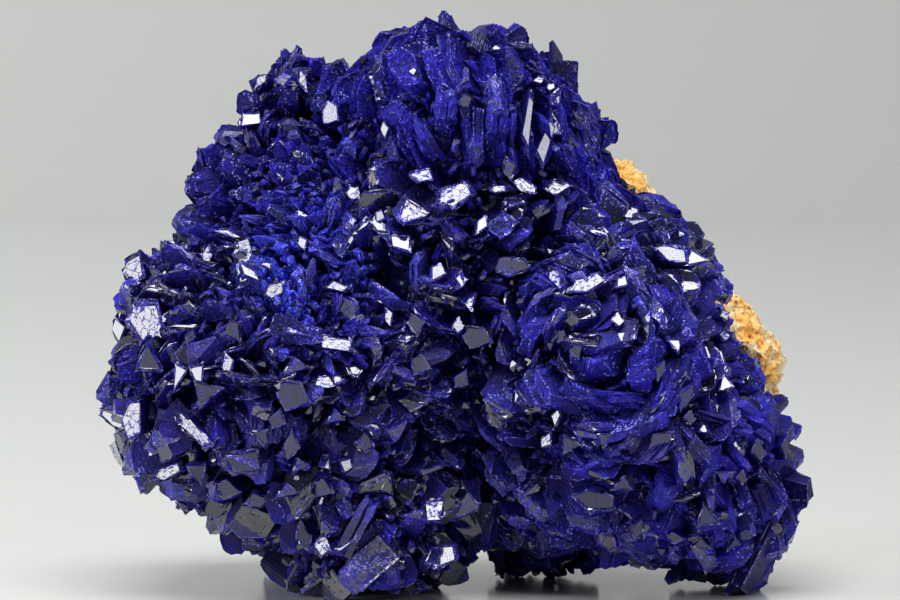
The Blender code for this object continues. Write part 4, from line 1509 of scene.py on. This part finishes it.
def limonite_material():
    """Earthy ochre rock: rust in the hollows, cream crusts and specks of malachite."""
    colours = bpy.context.scene.limonite
    made, tree, shader = new_material("limonite_rock", 0.9, 1.45)
    place = in_mm(tree)
    crusts = ramp(tree, noise(tree, place, 0.35, 6.0).outputs[0], 0.46, 0.60)
    hollows = ramp(tree, noise(tree, place, 1.8, 8.0).outputs[0], 0.54, 0.70)
    specks = ramp(tree, noise(tree, place, 0.7, 5.0, Roughness=0.7).outputs[0], 0.635, 0.69)
    face = opaque(colours.ochre)
    layers = ((crusts, colours.cream), (hollows, colours.rust), (specks, colours.malachite))
    for mask, shade in layers:
        face = blend_colour(tree, mask, face, opaque(shade))
    tree.links.new(face, shader.inputs["Base Color"])
    grain = noise(tree, place, 5.0, 8.0)
    pits = cells(tree, place, 1.3)
    height = maths(tree, "ADD", grain.outputs[0], pits.outputs["Distance"])
    links = {"Strength": 0.9, "Distance": ROCK_GRAIN_HEIGHT, "Height": height}
    bump = add(tree, "ShaderNodeBump", links)
    tree.links.new(bump.outputs[0], shader.inputs["Normal"])
    return made


# ------------------------------------------------------------------ pieces


CORE_LUMP_WIDTH, CORE_LUMP_HEIGHT = 1.6, 0.8
# The rock's relief, coarse to fine: the texture, its width, its height as a share of the relief
# that is set, and the level of the texture that stays where it is.
ROCK_RELIEF = {
    "Swells": ("CLOUDS", 6.5, 4.2, 0.68),
    "Lumps": ("CLOUDS", 2.2, 1.8, 0.5),
    "Pits": ("VORONOI", 1.3, 1.2, 0.5),
    "Crumbs": ("VORONOI", 0.5, 0.5, 0.5),
}


class SPECIMEN_OT_add_core(bpy.types.Operator):
    """Adds the lobes' solid cores, which show dark between the crystals"""

    bl_idname = "specimen.add_core"
    bl_label = "Add azurite core"

    def execute(self, context):
        cores = []
        for lobe in LOBES.values():
            bpy.ops.object.select_all(action="DESELECT")
            radii = [(radius - CORE_DEPTH) * MM for radius in lobe.radii]
            place = [c * MM for c in lobe.centre]
            bpy.ops.mesh.primitive_ico_sphere_add(
                subdivisions=4, radius=1.0, location=place, scale=radii
            )
            cores.append(context.object)
        for core in cores:
            core.select_set(True)
        context.view_layer.objects.active = cores[0]
        bpy.ops.object.join()
        core = context.object
        core.name = "azurite_core"
        bpy.ops.object.transform_apply(location=True, rotation=True, scale=True)
        lumps = bpy.data.textures.new("core_lumps", "VORONOI")
        lumps.noise_scale = CORE_LUMP_WIDTH * MM
        modifier = core.modifiers.new("Lumps", "DISPLACE")
        modifier.texture = lumps
        modifier.texture_coords = "GLOBAL"
        modifier.strength = CORE_LUMP_HEIGHT * MM
        bpy.ops.object.modifier_apply(modifier="Lumps")
        for vert in core.data.vertices:
            vert.co.z = max(vert.co.z, 0.0)
        core.data.materials.append(core_material())
        as_azurite(core)
        return {"FINISHED"}


BLADE_SEED, TIER_SEED, FACE_SEED = 7, 8, 9


class SPECIMEN_OT_add_crystals(bpy.types.Operator):
    """Adds the tiers of blades, plates and chips, a piece for each region of the cluster"""

    bl_idname = "specimen.add_crystals"
    bl_label = "Add azurite crystals"

    def execute(self, context):
        tree = rock_tree()
        packing = context.scene.azurite.packing
        regions = {}
        for number, (name, lobe) in enumerate(LOBES.items()):
            grown = regions.setdefault(lobe.region, [])
            halves = {1: lobe.habit, -1: lobe.below} if lobe.below else {0: lobe.habit}
            for half, habit in halves.items():
                rng = np.random.default_rng([BLADE_SEED, number, half + 1])
                grown += grow_blades(name, lobe, HABITS[habit], half, tree, rng, packing)
            for step, tier in enumerate(TIERS.values()):
                rng = np.random.default_rng([TIER_SEED, number, step])
                grown += grow_tier(name, lobe, tier, tree, rng, packing)
        faces, sights = grow_faces(np.random.default_rng(FACE_SEED))
        sights += rock_sights(tree)
        regions = {region: in_sight(growths, sights) for region, growths in regions.items()}
        regions["faces"] = faces
        for region, growths in regions.items():
            dull = "velvet" if region in VELVET_REGIONS else "frosted"
            surfaces = [azurite_material(name) for name in (dull, "polished", "satin")]
            as_azurite(joined(f"azurite_{region}", growths, surfaces))
        return {"FINISHED"}


class SPECIMEN_OT_add_limonite(bpy.types.Operator):
    """Adds the rock, as a finer surface on its solid"""

    bl_idname = "specimen.add_limonite"
    bl_label = "Add limonite matrix"

    def execute(self, context):
        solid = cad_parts[ROCK_NODE]
        rock = solid.copy()
        rock.data = solid.data.copy()
        rock.name = "limonite_rock"
        context.scene.collection.objects.link(rock)
        only(rock)
        bpy.ops.object.mode_set(mode="EDIT")
        bpy.ops.mesh.select_all(action="SELECT")
        bpy.ops.mesh.remove_doubles(threshold=0.001 * MM)
        bpy.ops.object.mode_set(mode="OBJECT")
        rock.modifiers.new("Finer", "SUBSURF").levels = 3
        rock.modifiers["Finer"].render_levels = 3
        bpy.ops.object.modifier_apply(modifier="Finer")
        relief = context.scene.limonite.relief
        for label, (kind, width, share, middle) in ROCK_RELIEF.items():
            texture = bpy.data.textures.new(f"rock_{label}", kind)
            texture.noise_scale = width * MM
            modifier = rock.modifiers.new(label, "DISPLACE")
            modifier.texture = texture
            modifier.texture_coords = "GLOBAL"
            modifier.strength = relief * share
            modifier.mid_level = middle
            bpy.ops.object.modifier_apply(modifier=label)
        rock.data.materials.clear()
        rock.data.materials.append(limonite_material())
        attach(rock, "root")
        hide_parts(ROCK_NODE)
        return {"FINISHED"}


# ------------------------------------------------------------------ stage

# In metres: the floor, how far it goes on behind before it rises, and the bend between the two.
FLOOR_SIZE, FLOOR_PLACE = (3.0, 1.7, 1.0), (0.0, -0.25, 0.0)
BACKDROP_BEHIND, BACKDROP_HEIGHT = 0.35, 1.4
BEND_WIDTH, BEND_STEPS = 0.3, 24
PAPER_ROUGHNESS = 0.16
WASH = Softbox((-550.0, 350.0, 750.0), (400.0, 300.0), 11.5)  # lights the backdrop
WASH_TURN = (0.9, 0.0, 0.0)
FILL_COLOUR, FILL_STRENGTH = (0.85, 0.88, 1.0, 1.0), 0.13
SENSOR_WIDTH = 36.0  # millimetres
VIEW_WIDTH = 0.09  # metres across the view at the specimen


def aim(obj, target):
    """Turns a lamp or a camera towards a point."""
    obj.rotation_euler = (target - obj.location).to_track_quat("-Z", "Y").to_euler()


def add_softbox(name, box, turn=(0.0, 0.0, 0.0)):
    """Adds a lamp of a softbox's place, size and radiance."""
    place = [c * MM for c in box.place]
    bpy.ops.object.light_add(type="AREA", location=place, rotation=turn)
    lamp = bpy.context.object
    lamp.name = name
    lamp.data.shape = "RECTANGLE"
    lamp.data.size, lamp.data.size_y = (side * MM for side in box.size)
    lamp.data.energy = box.radiance * math.pi * lamp.data.size * lamp.data.size_y
    return lamp


def select_back(mesh):
    """Leaves selected only the edge of the plane that is farthest back."""
    select_faces(mesh, lambda face: False)
    back = max(vert.co.y for vert in mesh.vertices)
    for edge in mesh.edges:
        edge.select = all(mesh.vertices[i].co.y > back - MM for i in edge.vertices)
        if edge.select:
            for i in edge.vertices:
                mesh.vertices[i].select = True


class SPECIMEN_OT_add_stage(bpy.types.Operator):
    """Adds the pale floor and backdrop, the softboxes and the camera"""

    bl_idname = "specimen.add_stage"
    bl_label = "Add stage"

    def execute(self, context):
        settings = context.scene.stage
        bpy.ops.object.select_all(action="DESELECT")
        bpy.ops.mesh.primitive_plane_add(size=1.0, location=FLOOR_PLACE)
        floor = context.object
        floor.name = "stage_floor"
        floor.scale = FLOOR_SIZE
        bpy.ops.object.transform_apply(location=True, scale=True)
        select_back(floor.data)
        bpy.ops.object.mode_set(mode="EDIT")
        bpy.ops.mesh.select_mode(type="EDGE")
        for step in ((0.0, BACKDROP_BEHIND, 0.0), (0.0, 0.0, BACKDROP_HEIGHT)):
            bpy.ops.mesh.extrude_region_move(TRANSFORM_OT_translate={"value": step})
        bpy.ops.object.mode_set(mode="OBJECT")
        sweep = floor.modifiers.new("Sweep", "BEVEL")
        sweep.width = BEND_WIDTH
        sweep.segments = BEND_STEPS
        sweep.limit_method = "ANGLE"
        bpy.ops.object.modifier_apply(modifier="Sweep")
        bpy.ops.object.shade_smooth()
        made, tree, shader = new_material("stage_paper", PAPER_ROUGHNESS, 1.45)
        shader.inputs["Base Color"].default_value = opaque(settings.floor_colour)
        behind = add(tree, "ShaderNodeNewGeometry").outputs["Backfacing"]
        tree.links.new(maths(tree, "SUBTRACT", 1.0, behind), shader.inputs["Alpha"])
        floor.data.materials.append(made)

        middle = Vector(MIDDLE) * MM
        for name, box in SOFTBOXES.items():
            aim(add_softbox(name, box), middle)
        add_softbox("backdrop_wash", WASH, WASH_TURN).visible_glossy = False
        world = bpy.data.worlds.new("studio_dark")
        world.use_nodes = True
        fill = world.node_tree.nodes["Background"].inputs
        fill["Color"].default_value, fill["Strength"].default_value = FILL_COLOUR, FILL_STRENGTH
        context.scene.world = world
        context.scene.view_settings.view_transform = "Standard"

        back = Vector((0.0, -math.cos(settings.camera_height), math.sin(settings.camera_height)))
        bpy.ops.object.camera_add(location=middle + back * settings.camera_distance)
        camera = context.object
        camera.name = "front_camera"
        camera.data.sensor_width = SENSOR_WIDTH
        camera.data.lens = SENSOR_WIDTH * settings.camera_distance / VIEW_WIDTH
        camera.data.clip_start = 0.05
        aim(camera, middle)
        context.scene.camera = camera
        return {"FINISHED"}


class SPECIMEN_PT_panel(bpy.types.Panel):
    """Lists the specimen's settings and steps"""

    bl_idname = "SPECIMEN_PT_panel"
    bl_label = "Azurite Specimen"
    bl_space_type = "VIEW_3D"
    bl_region_type = "UI"
    bl_category = "Azurite"

    def draw(self, context):
        layout = self.layout
        for group_name in ("azurite", "limonite", "stage"):
            settings = getattr(context.scene, group_name)
            box = layout.box()
            for name in settings.bl_rna.properties.keys():
                if name not in ("rna_type", "name"):
                    box.prop(settings, name)
        for step in STEPS:
            layout.operator(step.bl_idname)


STEPS = (
    SPECIMEN_OT_add_core,
    SPECIMEN_OT_add_crystals,
    SPECIMEN_OT_add_limonite,
    SPECIMEN_OT_add_stage,
)
CLASSES = (AzuriteSettings, LimoniteSettings, StageSettings, *STEPS, SPECIMEN_PT_panel)


def register():
    for cls in CLASSES:
        bpy.utils.register_class(cls)
    bpy.types.Scene.azurite = PointerProperty(type=AzuriteSettings)
    bpy.types.Scene.limonite = PointerProperty(type=LimoniteSettings)
    bpy.types.Scene.stage = PointerProperty(type=StageSettings)


def unregister():
    for name in ("azurite", "limonite", "stage"):
        delattr(bpy.types.Scene, name)
    for cls in reversed(CLASSES):
        bpy.utils.unregister_class(cls)


GROUPS = (build_frost, build_polish, build_relief, build_grain, build_streaks, build_sparkle)


def main():
    """Makes the specimen and its stage."""
    register()
    for build in GROUPS:
        build()
    bpy.ops.specimen.add_core()
    bpy.ops.specimen.add_crystals()
    bpy.ops.specimen.add_limonite()
    bpy.ops.specimen.add_stage()


if __name__ == "__main__":
    main()
